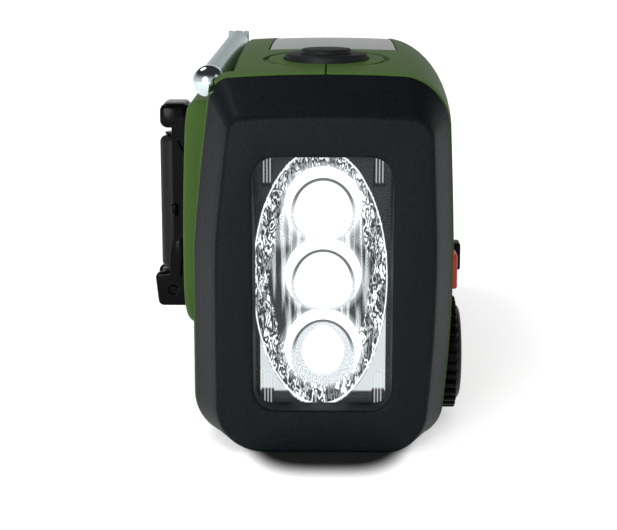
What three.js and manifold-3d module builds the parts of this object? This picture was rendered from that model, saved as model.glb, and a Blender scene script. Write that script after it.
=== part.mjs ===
// Hand-cranked radio with a three-bulb lamp at one end, made of separate pieces.
// Millimetres, +Z up. The lamp end faces -Y, the crank side faces -X and the control side faces +X.
// The origin is the centre of the rubber base pad's underside.
import * as THREE from "three";
import { mergeVertices } from "three/addons/utils/BufferGeometryUtils.js";
import Module from "manifold-3d";

const wasm = await Module();
wasm.setup();

// Clearances and cutting overrun
const gap = 0.3;
const runningGap = 0.4;
const overrun = 2;

// Body: a barrel with an arched top, measured at its fullest section
const bodyLength = 165;
const crestHeight = 81.4;
const crestFromLampFace = 59;
const archRadius = 588;
const bodyHalfWidth = 29.4;
const crankSideBulge = 1.35;
const controlSideBulge = 2.7;
const crownRise = 1;
const crankSideLean = 4.1;
const controlSideTopLean = 1.5;
const controlSideLowLean = 2.6;
const leanStartHeight = 42;
const topCrankCorner = 4.6;
const topControlCorner = 9.4;
const topControlCornerGrowth = 3.8;
const bottomCrankCorner = 10;
const bottomControlCorner = 7;
const shellWall = 2.2;
const bodyClearance = 0.1;
const bodyStations = 10;
const leastCorner = 0.8;
const leanPower = 1.2;

// End caps
const capDepth = 11;
const capSkirtDepth = 2.4;
const capSkirtWall = 1.6;
const capEdgeRound = 0.8;
const faceInsetCrankSide = 5.7;
const faceInsetControlSide = 4.4;
const faceInsetTop = 7.7;
const faceInsetBottom = 0;
const faceTopCrankCorner = 3;
const faceTopControlCorner = 4.4;
const faceBottomCrankCorner = 9.8;
const faceBottomControlCorner = 8.2;

// Base pad
const basePadFromEnd = 27.5;
const basePadWidth = 23;
const basePadRound = 6;
const basePadHeight = 1.2;

// Lamp window and lamp
const lampSide = -0.5;
const windowHalfWidth = 14;
const windowBottom = 9.9;
const windowTop = 62.6;
const windowCorner = 2.6;
const windowFlare = 0.6;
const windowDepth = 5;
const lensThickness = 1.6;
const lensSeat = 1.4;
const pegRadius = 1.05;
const pegLength = 6.2;
const pegSide = 11.8;
const pegSink = 0.5;
const reflectorDepth = 13;
const reflectorOvalHalfWidth = 14.3;
const reflectorOvalHalfHeight = 28;
const reflectorOvalDepth = 5;
const reflectorOvalShift = -0.6;
const bowlRadius = 8.2;
const bowlPitch = 15.6;
const bowlDepth = 6;
const bulbHole = 2.8;
const bulbRadius = 2.4;
const bulbLength = 3.4;
const lampBoardThickness = 1.6;
const lampBoardHalfWidth = 11;
const lampCollarWall = 1.6;

// Screws that hold the shells together
const screwRadius = 1.5;
const screwHeadRadius = 2.8;
const screwHeadHeight = 2.2;
const screwHeadSink = 3;
const screwReach = 12;
const bossRadius = 3.4;
const lampEndScrewInset = 25.5;
const tailEndScrewInset = 22.5;
const lowScrewHeight = 34;
const highScrewHeight = 62;

// Lamp button and the ring round it
const lampButtonFromFace = 31;
const lampButtonRadius = 9.1;
const lampButtonDiscRadius = 5.2;
const lampButtonStep = 1;
const lampButtonTravel = 1.2;
const lampButtonFlange = 1.4;
const lampButtonFlangeThickness = 1.2;
const lampButtonStemRadius = 3;
const lampButtonStemLength = 3;
const ringRadius = 13.3;
const ringWidth = 1.2;
const ringDepth = 0.7;
const lampSwitchSize = 7;

// Solar panel
const solarFromLampFace = 48;
const solarFromTail = 47;
const solarHalfWidth = 14.5;
const solarOffset = 1.5;
const solarThickness = 1.1;
const solarSink = 0.2;

// Antenna, its groove and its hinge
const antennaSide = 25.1;
const antennaDrop = 4.8;
const antennaHingeFromTail = 30;
const antennaTipFromFace = 18;
const antennaPathLength = 41;
const antennaTubeRadius = 2.7;
const antennaTubeWall = 0.75;
const antennaTubeGap = 0.3;
const antennaTipRadius = 3.45;
const antennaTipLength = 5;
const antennaPinRadius = 1;
const antennaKnuckleHalf = 1.2;
const antennaKnuckleWall = 1.1;
const antennaEarThickness = 1.3;
const antennaFootRadius = 3.6;
const antennaFootHeight = 0.8;
const antennaPostRadius = 2;
const antennaPostLength = 6;
const antennaBossRadius = 4.6;
const antennaBossHeight = 11;
const grooveWallSide = 19.4;
const grooveClearance = 1.2;
const grooveTailRise = 0.9;

// Raised pad on the crank side
const padFace = 32.95;
const padBottom = 16.4;
const padTop = 70;
const padHalfLength = 28;
const padTopCorner = 6;
const padBottomCorner = 12;
const padBow = 0.9;
const padFullestHeight = 33;
const padEdgeRound = 2.6;

// Crank, folded down along its arm
const crankFromFace = 65;
const crankHubHeight = 64.2;
const crankHalfWidth = 5.8;
const crankReach = 40;
const hubLugHalfHeight = 2.9;
const hubLugRound = 1.8;
const hubScrewRadius = 2;
const forkPivotHeight = 21.6;
const forkBottom = 17.6;
const forkTop = 25.9;
const forkReach = 41.7;
const forkRound = 1.4;
const forkSlotHalf = 3.6;
const forkWeb = 0.6;
const railThickness = 1.5;
const railDepth = 3.85;
const railFin = 1.1;
const railFinHeight = 8;
const railKneeShare = 0.8;
const gripSide = 37.3;
const gripRadius = 3.2;
const gripBottom = 26.3;
const gripTop = 58.9;
const spindleRadius = 1.2;
const spindleHeadRadius = 1.9;
const forkPinRadius = 1;
const crankShaftRadius = 2.5;

// Gear train between crank and generator
const gearModule = 0.6;
const driveTeeth = 36;
const idlerPinionTeeth = 12;
const idlerWheelTeeth = 40;
const generatorPinionTeeth = 10;
const gearWidth = 2.6;
const gearSideClearance = 0.6;
const driveGearSide = 14;
const idlerBearing = 30;
const generatorBearing = -20;
const gearPlateThickness = 1.7;
const gearPlateHalfLength = 22;
const gearPlateBottom = 26;
const gearPlateTop = 73;
const gearPostRadius = 2.4;
const gearPostInset = 3.6;
const idlerAxleRadius = 1.2;
const generatorRadius = 12;
const generatorLength = 14;
const generatorShaftRadius = 1;

// Turning knobs on the control side
const knobFromEnd = 28;
const knobHeight = 14.9;
const knobRadius = 12.6;
const knobRibDepth = 1.3;
const knobRibs = 32;
const knobInnerSide = 24.6;
const knobOuterSide = 30.1;
const knobCrownRound = 2.4;
const knobRecessWall = 1.2;
const knobFloor = 1.6;
const knobShaftRadius = 3;
const tunerHalf = 6;

// Alarm button and band slider on the control side
const alarmFromFace = 46.5;
const alarmHeight = 29.8;
const alarmHalfLength = 3.5;
const alarmHalfHeight = 4.1;
const alarmReach = 30.7;
const alarmTravel = 1;
const bandFromFace = 56;
const bandHeight = 31.3;
const bandHalfLength = 3;
const bandHalfHeight = 3.2;
const bandReach = 32.1;
const bandTravel = 5;
const keyFlange = 1.2;
const keyFlangeThickness = 1.2;
const keySwitchHalf = 3.2;

// Display
const displayFromFace = 37;
const displayToGrille = 8;
const displayHeight = 58;
const displayHalfHeight = 10.5;
const displaySide = 27.6;
const displayWindowThickness = 1.4;
const displayModuleThickness = 4;

// Loudspeaker
const speakerFromTail = 54;
const speakerHeight = 43;
const speakerRadius = 19;
const speakerDepth = 3.6;
const magnetRadius = 10;
const grilleRadius = 20;
const grilleThickness = 2;
const grilleSide = 27.6;
const grilleSlots = 9;
const grilleSlotWidth = 1.8;
const grilleRim = 2.4;

// Circuit boards, battery and sockets
const boardThickness = 1.6;
const boardSide = 9;
const boardBottom = 7;
const boardTop = 66;
const boardLampEndInset = 31;
const portBoardFromTail = 13;
const portBoardHalfWidth = 16;
const portBoardHalfHeight = 12;
const topBoardHalfLength = 9;
const topBoardLeft = 8;
const batteryRadius = 9.2;
const batteryLength = 65;
const batterySide = 7;
const batteryFromTail = 38;
const portHeight = 40;
const usbHalfWidth = 6.6;
const usbHalfHeight = 2.9;
const chargeHalfWidth = 4.2;
const chargeHalfHeight = 1.8;
const portSpacing = 11;
const portWallThickness = 0.5;
const flapHalfWidth = 15;
const flapHalfHeight = 9;
const flapThickness = 2.2;

const yFront = -bodyLength / 2;
const yBack = bodyLength / 2;
const yShellFront = yFront + capDepth + gap / 2;
const yShellBack = yBack - capDepth - gap / 2;
const yCrest = yFront + crestFromLampFace;
const yCrank = yFront + crankFromFace;
const yHinge = yBack - antennaHingeFromTail;
const antennaHeight = crestHeight - antennaDrop;
const grooveFloor = antennaHeight - antennaTubeRadius - grooveClearance;
const yLampButton = yFront + lampButtonFromFace;
const screwPlaces = [
  [yFront + lampEndScrewInset, lowScrewHeight],
  [yFront + lampEndScrewInset, highScrewHeight],
  [yBack - tailEndScrewInset, lowScrewHeight],
  [yBack - tailEndScrewInset, highScrewHeight],
];
const knobPlaces = [yFront + knobFromEnd, yBack - knobFromEnd];

// Turns a closed three.js geometry into a solid that can be cut and joined.
function solid(geometry) {
  const bare = geometry.index ? geometry.clone() : geometry;
  bare.deleteAttribute("normal");
  bare.deleteAttribute("uv");
  const merged = mergeVertices(bare);
  const mesh = new wasm.Mesh({
    numProp: 3,
    vertProperties: new Float32Array(merged.attributes.position.array),
    triVerts: new Uint32Array(merged.index.array),
  });
  return new wasm.Manifold(mesh);
}

// Turns a solid back into a three.js geometry.
function geometryOf(body) {
  const mesh = body.getMesh();
  const geometry = new THREE.BufferGeometry();
  geometry.setAttribute("position", new THREE.BufferAttribute(mesh.vertProperties, mesh.numProp));
  geometry.setIndex(new THREE.BufferAttribute(mesh.triVerts, 1));
  geometry.computeVertexNormals();
  return geometry;
}

function joined(first, ...others) {
  return others.reduce((whole, piece) => whole.add(piece), first);
}

function cut(first, ...others) {
  return others.reduce((whole, piece) => whole.subtract(piece), first);
}

// A box between two corners.
function block(x0, x1, y0, y1, z0, z1) {
  const box = new THREE.BoxGeometry(x1 - x0, y1 - y0, z1 - z0);
  box.translate((x0 + x1) / 2, (y0 + y1) / 2, (z0 + z1) / 2);
  return solid(box);
}

// Round bars along each axis, from one end to the other.
function rodX(radius, x0, x1, y, z, sides = 20) {
  const rod = new THREE.CylinderGeometry(radius, radius, x1 - x0, sides);
  rod.rotateZ(-Math.PI / 2);
  rod.translate((x0 + x1) / 2, y, z);
  return solid(rod);
}

function rodY(radius, y0, y1, x, z, sides = 20) {
  const rod = new THREE.CylinderGeometry(radius, radius, y1 - y0, sides);
  rod.translate(x, (y0 + y1) / 2, z);
  return solid(rod);
}

function rodZ(radius, z0, z1, x, y, sides = 20) {
  const rod = new THREE.CylinderGeometry(radius, radius, z1 - z0, sides);
  rod.rotateX(Math.PI / 2);
  rod.translate(x, y, (z0 + z1) / 2);
  return solid(rod);
}

// A closed outline of a rounded rectangle in X and Z, anticlockwise as seen from -Y.
// The corners are given as control-side top, crank-side top, crank-side bottom, control-side bottom.
function roundedOutline(left, right, bottom, top, corners, cornerSteps = 5, edgeSteps = 3) {
  const centres = [
    new THREE.Vector2(right - corners[0], top - corners[0]),
    new THREE.Vector2(left + corners[1], top - corners[1]),
    new THREE.Vector2(left + corners[2], bottom + corners[2]),
    new THREE.Vector2(right - corners[3], bottom + corners[3]),
  ];
  const arcs = centres.map((centre, index) => {
    const arc = [];
    for (let step = 0; step <= cornerSteps; step++) {
      const angle = (Math.PI / 2) * (index + step / cornerSteps);
      const spoke = new THREE.Vector2(Math.cos(angle), Math.sin(angle));
      arc.push(centre.clone().addScaledVector(spoke, corners[index]));
    }
    return arc;
  });
  const points = [];
  arcs.forEach((arc, index) => {
    points.push(...arc);
    const from = arc[arc.length - 1];
    const to = arcs[(index + 1) % arcs.length][0];
    for (let step = 1; step < edgeSteps; step++) {
      points.push(from.clone().lerp(to, step / edgeSteps));
    }
  });
  return points;
}

// A closed solid through outlines that are stacked along Y, from -Y to +Y.
function loftGeometry(rings) {
  const count = rings[0].points.length;
  const positions = [];
  const index = [];
  rings.forEach((ring) => ring.points.forEach((p) => positions.push(p.x, ring.y, p.y)));
  for (let k = 0; k + 1 < rings.length; k++) {
    for (let i = 0; i < count; i++) {
      const near = k * count + i;
      const nearNext = k * count + ((i + 1) % count);
      index.push(near, near + count, nearNext);
      index.push(nearNext, near + count, nearNext + count);
    }
  }
  const outline = rings[0].points;
  const triangles = THREE.ShapeUtils.triangulateShape(outline, []);
  const last = (rings.length - 1) * count;
  triangles.forEach(([a, b, c]) => {
    index.push(a, b, c);
    index.push(last + c, last + b, last + a);
  });
  const geometry = new THREE.BufferGeometry();
  geometry.setAttribute("position", new THREE.Float32BufferAttribute(positions, 3));
  geometry.setIndex(index);
  return geometry;
}

function loft(rings) {
  return solid(loftGeometry(rings));
}

// Body surface
function bodyTopAt(y) {
  return crestHeight - (y - yCrest) ** 2 / (2 * archRadius);
}

// Half widths of the crank side and the control side.
function bodySidesAt(y) {
  const share = ((2 * y) / bodyLength) ** 2;
  return {
    crank: bodyHalfWidth - crankSideBulge * share,
    control: bodyHalfWidth - controlSideBulge * share,
  };
}

// Leans the sides in and crowns the top of an outline.
function shaped(points, top) {
  const left = Math.min(...points.map((p) => p.x));
  const right = Math.max(...points.map((p) => p.x));
  return points.map((p) => {
    const sideShare = p.x < 0 ? p.x / left : p.x / right;
    const riseShare = Math.max(0, (p.y - leanStartHeight) / (top - leanStartHeight));
    const dropShare = Math.max(0, (leanStartHeight - p.y) / leanStartHeight);
    const lift = riseShare ** leanPower;
    const controlLean = controlSideTopLean * lift + controlSideLowLean * dropShare ** 2;
    const lean = p.x < 0 ? crankSideLean * lift : -controlLean;
    return new THREE.Vector2(p.x + lean * sideShare, p.y - crownRise * riseShare * sideShare ** 2);
  });
}

// The body's outline at one place along Y, moved inwards by the inset.
function bodyRing(y, inset = 0, sizedAt = y) {
  return capRing(y, sizedAt, 0, inset);
}

// An end cap's outline: share 0 is the body's outline and share 1 is the smaller end face.
function capRing(y, sizedAt, share, inset = 0) {
  const sides = bodySidesAt(sizedAt);
  const top = bodyTopAt(sizedAt);
  const fullness = 1 - ((2 * sizedAt) / bodyLength) ** 2;
  const corners = [
    [topControlCorner + topControlCornerGrowth * fullness, faceTopControlCorner],
    [topCrankCorner, faceTopCrankCorner],
    [bottomCrankCorner, faceBottomCrankCorner],
    [bottomControlCorner, faceBottomControlCorner],
  ].map(([body, face]) => Math.max(leastCorner, THREE.MathUtils.lerp(body, face, share) - inset));
  const outline = roundedOutline(
    -sides.crank + inset + faceInsetCrankSide * share,
    sides.control - inset - faceInsetControlSide * share,
    bodyClearance + inset + faceInsetBottom * share,
    top - inset - faceInsetTop * share,
    corners,
  );
  return { y, points: shaped(outline, top) };
}

// Solid of the body between two places, moved inwards by the inset.
function bodySolid(y0, y1, inset, stations) {
  const rings = [];
  for (let k = 0; k <= stations; k++) {
    rings.push(bodyRing(THREE.MathUtils.lerp(y0, y1, k / stations), inset));
  }
  return loft(rings);
}

const capRoundShares = [0, 0.3, 1];

// One hollow end cap with a skirt that slides into the body.
// The way is 1 at the lamp end and -1 at the tail.
function hollowCap(way) {
  const yFace = way > 0 ? yFront : yBack;
  const yJoint = yFace + way * (capDepth - gap / 2);
  const at = (depth) => yFace + way * depth;
  const inwards = shellWall + gap;
  const hollow = inwards + capSkirtWall;
  const outer = capRoundShares.map((share) => {
    const inset = capEdgeRound * (1 - Math.sqrt(1 - (1 - share) ** 2));
    return capRing(at(capEdgeRound * share), yJoint, 1 - (share * capEdgeRound) / capDepth, inset);
  });
  outer.push(capRing(yJoint, yJoint, 0));
  const cavity = [
    capRing(at(hollow), yJoint, 1 - hollow / capDepth, hollow),
    capRing(yJoint, yJoint, 0, hollow),
    bodyRing(at(capDepth + capSkirtDepth + overrun), hollow),
  ];
  const skirt = [
    capRing(at(capDepth - overrun), yJoint, 0, inwards),
    bodyRing(at(capDepth + capSkirtDepth), inwards),
  ];
  const inOrder = (rings) => (way > 0 ? rings : rings.reverse());
  const walls = joined(loft(inOrder(outer)), loft(inOrder(skirt)));
  return { walls, cavity: loft(inOrder(cavity)) };
}


// A solid of revolution about Y or X from a profile of radius and place along the axis.
function latheY(profile, x, z, sides = 20) {
  const geometry = new THREE.LatheGeometry(profile.map(([r, y]) => new THREE.Vector2(r, y)), sides);
  geometry.translate(x, 0, z);
  return solid(geometry);
}

// The lamp window's tunnel, wider at the front, with a margin all round.
function windowTunnel(margin, y0, y1) {
  const ring = (y) => {
    const flare = Math.max(0, (windowFlare * (yFront + windowDepth - y)) / windowDepth) + margin;
    const corner = windowCorner + flare;
    const points = roundedOutline(
      lampSide - windowHalfWidth - flare,
      lampSide + windowHalfWidth + flare,
      windowBottom - flare,
      windowTop + flare,
      [corner, corner, corner, corner],
      4,
      1,
    );
    return { y, points };
  };
  return loft([ring(y0), ring(y1)]);
}

// Lamp
const yLensFront = yFront + windowDepth;
const yLensBack = yLensFront + lensThickness;
const yReflector = yLensBack + gap;
const yReflectorBack = yReflector + reflectorDepth;
const lampMiddle = (windowBottom + windowTop) / 2;
const pegPlaces = [-1, 1].flatMap((x) => [-1, 1].map((way) => [lampSide + x * pegSide, way]));

const innerTubeRadius = antennaTubeRadius - antennaTubeWall - antennaTubeGap;

// The notch that the antenna's inner sections are drawn out through.
function antennaPath() {
  return rodY(
    innerTubeRadius + gap,
    yFront - overrun,
    yShellFront + antennaPathLength,
    -antennaSide,
    antennaHeight,
  );
}

function lampBezel() {
  const { walls, cavity } = hollowCap(1);
  const collar = windowTunnel(lensSeat + lampCollarWall, yFront, yReflector).intersect(walls);
  const tunnel = windowTunnel(0, yFront - overrun, yLensFront + overrun);
  const seat = windowTunnel(lensSeat, yLensFront, yReflector + overrun);
  return cut(joined(cut(walls, cavity), collar), tunnel, seat, antennaPath());
}

// An upright peg behind the lens, with a rounded end, grown by a margin. The way is 1 at the window's top.
function lensPeg([x, way], margin) {
  const start = way > 0 ? windowTop : windowBottom;
  const end = start - way * (pegLength - pegRadius);
  const y = yLensBack + pegSink;
  const radius = pegRadius + margin;
  const tip = new THREE.SphereGeometry(radius, 12, 8);
  tip.rotateX(Math.PI / 2);
  tip.translate(x, y, end);
  return rodZ(
    radius,
    Math.min(start, end) - (way < 0 ? margin : 0),
    Math.max(start, end) + (way > 0 ? margin : 0),
    x,
    y,
    12,
  ).add(solid(tip));
}

function lampLens() {
  const pane = windowTunnel(lensSeat - gap, yLensFront, yLensBack);
  return joined(pane, ...pegPlaces.map((place) => lensPeg(place, 0)));
}

// A hollow in the reflector: half an egg, open towards the lamp face.
function reflectorHollow(halfWidth, depth, halfHeight, x, z, sides, bands) {
  const egg = new THREE.SphereGeometry(1, sides, bands);
  egg.scale(halfWidth, depth, halfHeight);
  egg.translate(x, yReflector, z);
  return solid(egg);
}

const bowlHeights = [1, 0, -1].map((step) => lampMiddle + step * bowlPitch);

function lampReflector() {
  const margin = lensSeat + lampCollarWall;
  const blank = windowTunnel(margin, yReflector, yReflectorBack);
  const oval = reflectorHollow(
    reflectorOvalHalfWidth,
    reflectorOvalDepth,
    reflectorOvalHalfHeight,
    lampSide + reflectorOvalShift,
    lampMiddle,
    24,
    12,
  );
  const bowls = bowlHeights.map((z) =>
    reflectorHollow(bowlRadius, reflectorOvalDepth + bowlDepth, bowlRadius, lampSide, z, 18, 12),
  );
  const bulbHoles = bowlHeights.map((z) => rodY(
    bulbHole, yReflector, yReflectorBack + overrun, lampSide, z, 16
  ));
  const pegSlots = pegPlaces.map((place) => lensPeg(place, gap));
  return cut(blank, oval, ...bowls, ...bulbHoles, ...pegSlots);
}

const bulbDomeShares = [0.5, 0.8];

function bulb(z) {
  const y = yReflectorBack;
  const shoulder = bulbLength - bulbRadius / 2;
  const profile = [[0, y], [bulbRadius, y], [bulbRadius, y - shoulder]];
  for (const share of bulbDomeShares) {
    profile.push([bulbRadius * Math.sqrt(1 - share ** 2), y - shoulder - (share * bulbRadius) / 2]);
  }
  profile.push([0, y - bulbLength]);
  return latheY(profile.reverse(), lampSide, z, 16);
}

function lampBoard() {
  return block(
    lampSide - lampBoardHalfWidth,
    lampSide + lampBoardHalfWidth,
    yReflectorBack,
    yReflectorBack + lampBoardThickness,
    windowBottom,
    windowTop,
  );
}

// Body shells
const outerBody = bodySolid(yShellFront, yShellBack, 0, bodyStations);
const innerBody = bodySolid(yShellFront - overrun, yShellBack + overrun, shellWall, bodyStations / 2);

function sideHalf(side) {
  const near = gap / 2;
  const far = bodyLength;
  return side > 0 ? block(near, far, yFront, yBack, 0, far) : block(-far, -near, yFront, yBack, 0, far);
}

// Cuts that both shells share: the lamp button's hole and its ring, the solar panel's pocket
// and the base pad's recess.
function topAndBaseCuts() {
  const crest = bodyTopAt(yLampButton);
  const hole = rodZ(lampButtonRadius + gap, boardTop, bodyLength, 0, yLampButton, 28);
  const ring = cut(
    rodZ(ringRadius + ringWidth / 2, crest - ringDepth, bodyLength, 0, yLampButton, 32),
    rodZ(
      ringRadius - ringWidth / 2,
      crest - ringDepth - overrun,
      bodyLength + overrun,
      0,
      yLampButton,
      32,
    ),
  );
  const pocketDepth = solarSink + solarThickness + gap;
  const pocket = cut(
    block(
      solarOffset - solarHalfWidth - gap,
      solarOffset + solarHalfWidth + gap,
      ySolar - gap,
      ySolar + solarLength + gap,
      boardTop,
      bodyLength,
    ),
    bodySolid(yShellFront, yShellBack, pocketDepth, bodyStations),
  );
  const recess = basePadSolid(gap);
  return [hole, ring, pocket, recess];
}

const ySolar = yFront + solarFromLampFace;
const solarLength = bodyLength - solarFromLampFace - solarFromTail;

function basePadSolid(margin) {
  const x = basePadWidth / 2 + margin;
  const y = bodyLength / 2 - basePadFromEnd + margin;
  const r = basePadRound + margin;
  const shape = new THREE.Shape();
  shape.moveTo(x, y - r);
  shape.absarc(x - r, y - r, r, 0, Math.PI / 2);
  shape.absarc(r - x, y - r, r, Math.PI / 2, Math.PI);
  shape.absarc(r - x, r - y, r, Math.PI, 1.5 * Math.PI);
  shape.absarc(x - r, r - y, r, 1.5 * Math.PI, 2 * Math.PI);
  const pad = new THREE.ExtrudeGeometry(
    shape, { depth: basePadHeight + margin, bevelEnabled: false, curveSegments: 6 }
  );
  return solid(pad);
}

function solarPanel() {
  const slab = cut(
    bodySolid(yShellFront, yShellBack, solarSink, bodyStations),
    bodySolid(yShellFront - overrun, yShellBack + overrun, solarSink + solarThickness, bodyStations),
  );
  const area = block(
    solarOffset - solarHalfWidth,
    solarOffset + solarHalfWidth,
    ySolar,
    ySolar + solarLength,
    boardTop,
    bodyLength,
  );
  return slab.intersect(area);
}

// A screw boss reaching from a side wall to the parting plane.
function bosses(side) {
  return screwPlaces.map(([y, z]) => rodX(
    bossRadius, -bodyHalfWidth, bodyHalfWidth, y, z
  ).intersect(sideHalf(side)).intersect(outerBody));
}

function knobRecess(y) {
  return rodX(knobRadius + gap + gap, knobInnerSide - gap, bodyLength, y, knobHeight, 36);
}

function knobWell(y) {
  const wall = knobRadius + gap + gap + knobRecessWall;
  return rodX(wall, knobInnerSide - gap - knobFloor, bodyLength, y, knobHeight, 36).intersect(outerBody);
}

const ySpeaker = yBack - speakerFromTail;
const displayHalfLength = (ySpeaker - grilleRadius - displayToGrille - yFront - displayFromFace) / 2;
const yDisplay = yFront + displayFromFace + displayHalfLength;
const yAlarm = yFront + alarmFromFace;
const yBand = yFront + bandFromFace;

function plateOnSide(x0, x1, y, z, halfLength, halfHeight) {
  return block(x0, x1, y - halfLength, y + halfLength, z - halfHeight, z + halfHeight);
}

function frontShell() {
  const wall = outerBody.subtract(innerBody);
  const wells = knobPlaces.map(knobWell);
  const half = joined(wall, ...wells, ...bosses(1)).intersect(sideHalf(1));
  const cuts = [
    ...topAndBaseCuts(),
    ...knobPlaces.map(knobRecess),
    ...knobPlaces.map((y) => rodX(knobShaftRadius + gap, 0, bodyLength, y, knobHeight, 16)),
    ...screwPlaces.map(([y, z]) => rodX(screwRadius + gap, -overrun, screwReach + gap, y, z, 12)),
    rodX(grilleRadius + gap, magnetRadius, bodyLength, ySpeaker, speakerHeight, 40),
    plateOnSide(
      magnetRadius,
      bodyLength,
      yDisplay,
      displayHeight,
      displayHalfLength + gap,
      displayHalfHeight + gap,
    ),
    plateOnSide(
      magnetRadius, bodyLength, yAlarm, alarmHeight, alarmHalfLength + gap, alarmHalfHeight + gap
    ),
    plateOnSide(
      magnetRadius,
      bodyLength,
      yBand + bandTravel / 2,
      bandHeight,
      bandHalfLength + bandTravel / 2 + gap,
      bandHalfHeight + gap,
    ),
  ];
  return cut(half, ...cuts);
}

const padRoundShares = [0.4, 0.75, 1];
const padFaceSizes = [0.7, 0.4, 0.1];

// The raised pad that the crank turns over: rounded at its edge, and fullest below its middle.
function crankPad() {
  const middle = new THREE.Vector2(yCrank, (padBottom + padTop) / 2);
  const ring = (x, inset, size = 1) => {
    const corners = [padTopCorner, padTopCorner, padBottomCorner, padBottomCorner];
    const outline = roundedOutline(
      yCrank - padHalfLength + inset,
      yCrank + padHalfLength - inset,
      padBottom + inset,
      padTop - inset,
      corners.map((corner) => corner - inset),
      5,
      4,
    );
    return { y: x, points: outline.map((p) => p.clone().sub(middle).multiplyScalar(size).add(middle)) };
  };
  const rings = [ring(bodyHalfWidth - shellWall - capEdgeRound, 0), ring(padFace - padEdgeRound, 0)];
  for (const share of padRoundShares) {
    rings.push(ring(
      padFace - padEdgeRound * (1 - share), padEdgeRound * (1 - Math.sqrt(1 - share ** 2))
    ));
  }
  for (const size of padFaceSizes) {
    rings.push(ring(padFace, padEdgeRound, size));
  }
  const geometry = loftGeometry(rings);
  geometry.rotateZ(Math.PI / 2);
  const places = geometry.attributes.position;
  for (let i = 0; i < places.count; i++) {
    const away = (places.getZ(i) - padFullestHeight) / padFullestHeight;
    const outer = places.getX(i) < padEdgeRound + gap - padFace;
    places.setX(i, places.getX(i) + (outer ? padBow * away ** 2 : 0));
  }
  return solid(geometry);
}

const yGrooveFront = yShellFront + capSkirtDepth + gap + shellWall;
const yGrooveBack = yShellBack - capSkirtDepth - gap - shellWall;
const antennaBoss = () =>
  rodZ(antennaBossRadius, grooveFloor - antennaBossHeight, grooveFloor, -antennaSide, yHinge, 24);
const postHole = () =>
  rodZ(
    antennaPostRadius + gap,
    grooveFloor - antennaPostLength - gap,
    bodyLength,
    -antennaSide,
    yHinge,
    16,
  );

function rearShell() {
  const far = bodyLength;
  const linerSide = gap - grooveWallSide + shellWall;
  const grooveLiner = block(
    -far,
    linerSide,
    yGrooveFront - shellWall,
    yGrooveBack + shellWall,
    grooveFloor - shellWall,
    far,
  );
  const groove = block(-far, -grooveWallSide, yGrooveFront, yGrooveBack, grooveFloor, far);
  const grooveTail = block(-far, -grooveWallSide, yGrooveFront, yBack, grooveFloor + grooveTailRise, far);
  const gearPosts = gearPostPlaces.map(([y, z]) => rodX(
    gearPostRadius, -bodyHalfWidth, -gearPlateSide, y, z, 16
  ));
  const gearPostsInside = gearPosts.map((post) => post.intersect(outerBody));
  const bearing = rodX(
    crankShaftRadius + shellWall,
    -padFace + overrun,
    -driveGearSide - gearWidth - gap,
    yCrank,
    crankHubHeight,
  );
  const skin = joined(outerBody, crankPad()).subtract(innerBody);
  const half = joined(
    skin,
    grooveLiner.intersect(outerBody),
    antennaBoss(),
    bearing,
    ...gearPostsInside,
    ...bosses(-1),
  );
  const headSeat = bodyHalfWidth - screwHeadSink - screwHeadHeight;
  const cuts = [
    ...topAndBaseCuts(),
    groove,
    grooveTail,
    antennaPath(),
    postHole(),
    rodX(crankShaftRadius + gap, -far, 0, yCrank, crankHubHeight, 16),
    ...screwPlaces.map(([y, z]) => rodX(screwRadius + gap, -far, overrun, y, z, 12)),
    ...screwPlaces.map(([y, z]) => rodX(screwHeadRadius + gap, -far, gap - headSeat, y, z, 16)),
  ];
  return cut(half.intersect(sideHalf(-1)), ...cuts);
}

function shellScrew([y, z]) {
  const headSeat = bodyHalfWidth - screwHeadSink - screwHeadHeight;
  const head = rodX(screwHeadRadius, -headSeat - screwHeadHeight, -headSeat, y, z, 16);
  return joined(head, rodX(screwRadius, -headSeat - screwHeadHeight / 2, screwReach, y, z, 12));
}

// Lamp button: a stepped rubber cap with a flange under the shell and a stem over the switch.
const lampButtonTop = bodyTopAt(yLampButton);
const lampButtonUnder = lampButtonTop - shellWall - 2 * lampButtonFlangeThickness;

function lampButton() {
  const at = (radius, z0, z1, sides) => rodZ(radius, z0, z1, 0, yLampButton, sides);
  return joined(
    at(lampButtonRadius, lampButtonUnder, lampButtonTop + lampButtonStep, 32),
    at(lampButtonDiscRadius, lampButtonTop, lampButtonTop + 2 * lampButtonStep, 28),
    at(
      lampButtonRadius + lampButtonFlange,
      lampButtonUnder,
      lampButtonUnder + lampButtonFlangeThickness,
      32,
    ),
    at(
      lampButtonStemRadius,
      lampButtonUnder - lampButtonStemLength,
      lampButtonUnder + lampButtonFlangeThickness,
      16,
    ),
  );
}

const zLampSwitch = lampButtonUnder - lampButtonStemLength - lampButtonTravel - gap;
const zTopBoard = zLampSwitch - lampSwitchSize / 2;

function lampSwitch() {
  const half = lampSwitchSize / 2;
  return block(-half, half, yLampButton - half, yLampButton + half, zTopBoard, zLampSwitch);
}

function topBoard() {
  return block(
    -topBoardLeft,
    boardSide - gap,
    yLampButton - topBoardHalfLength,
    yMainBoard + 2 * topBoardHalfLength,
    zTopBoard - boardThickness,
    zTopBoard,
  );
}

// Antenna: a swivelling forked base, a pin and three telescoping lengths with a domed tip.
const yTip = yFront + antennaTipFromFace;
const yTubeFront = yTip + antennaTipLength;
const antennaEarInner = antennaKnuckleHalf + gap;
const antennaEarOuter = antennaEarInner + antennaEarThickness;
const antennaEarRound = antennaTubeRadius - gap;
const yTubeBack = yHinge - antennaEarRound - gap - gap;
const rodRadius = innerTubeRadius - antennaTubeWall - antennaTubeGap;

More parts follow.
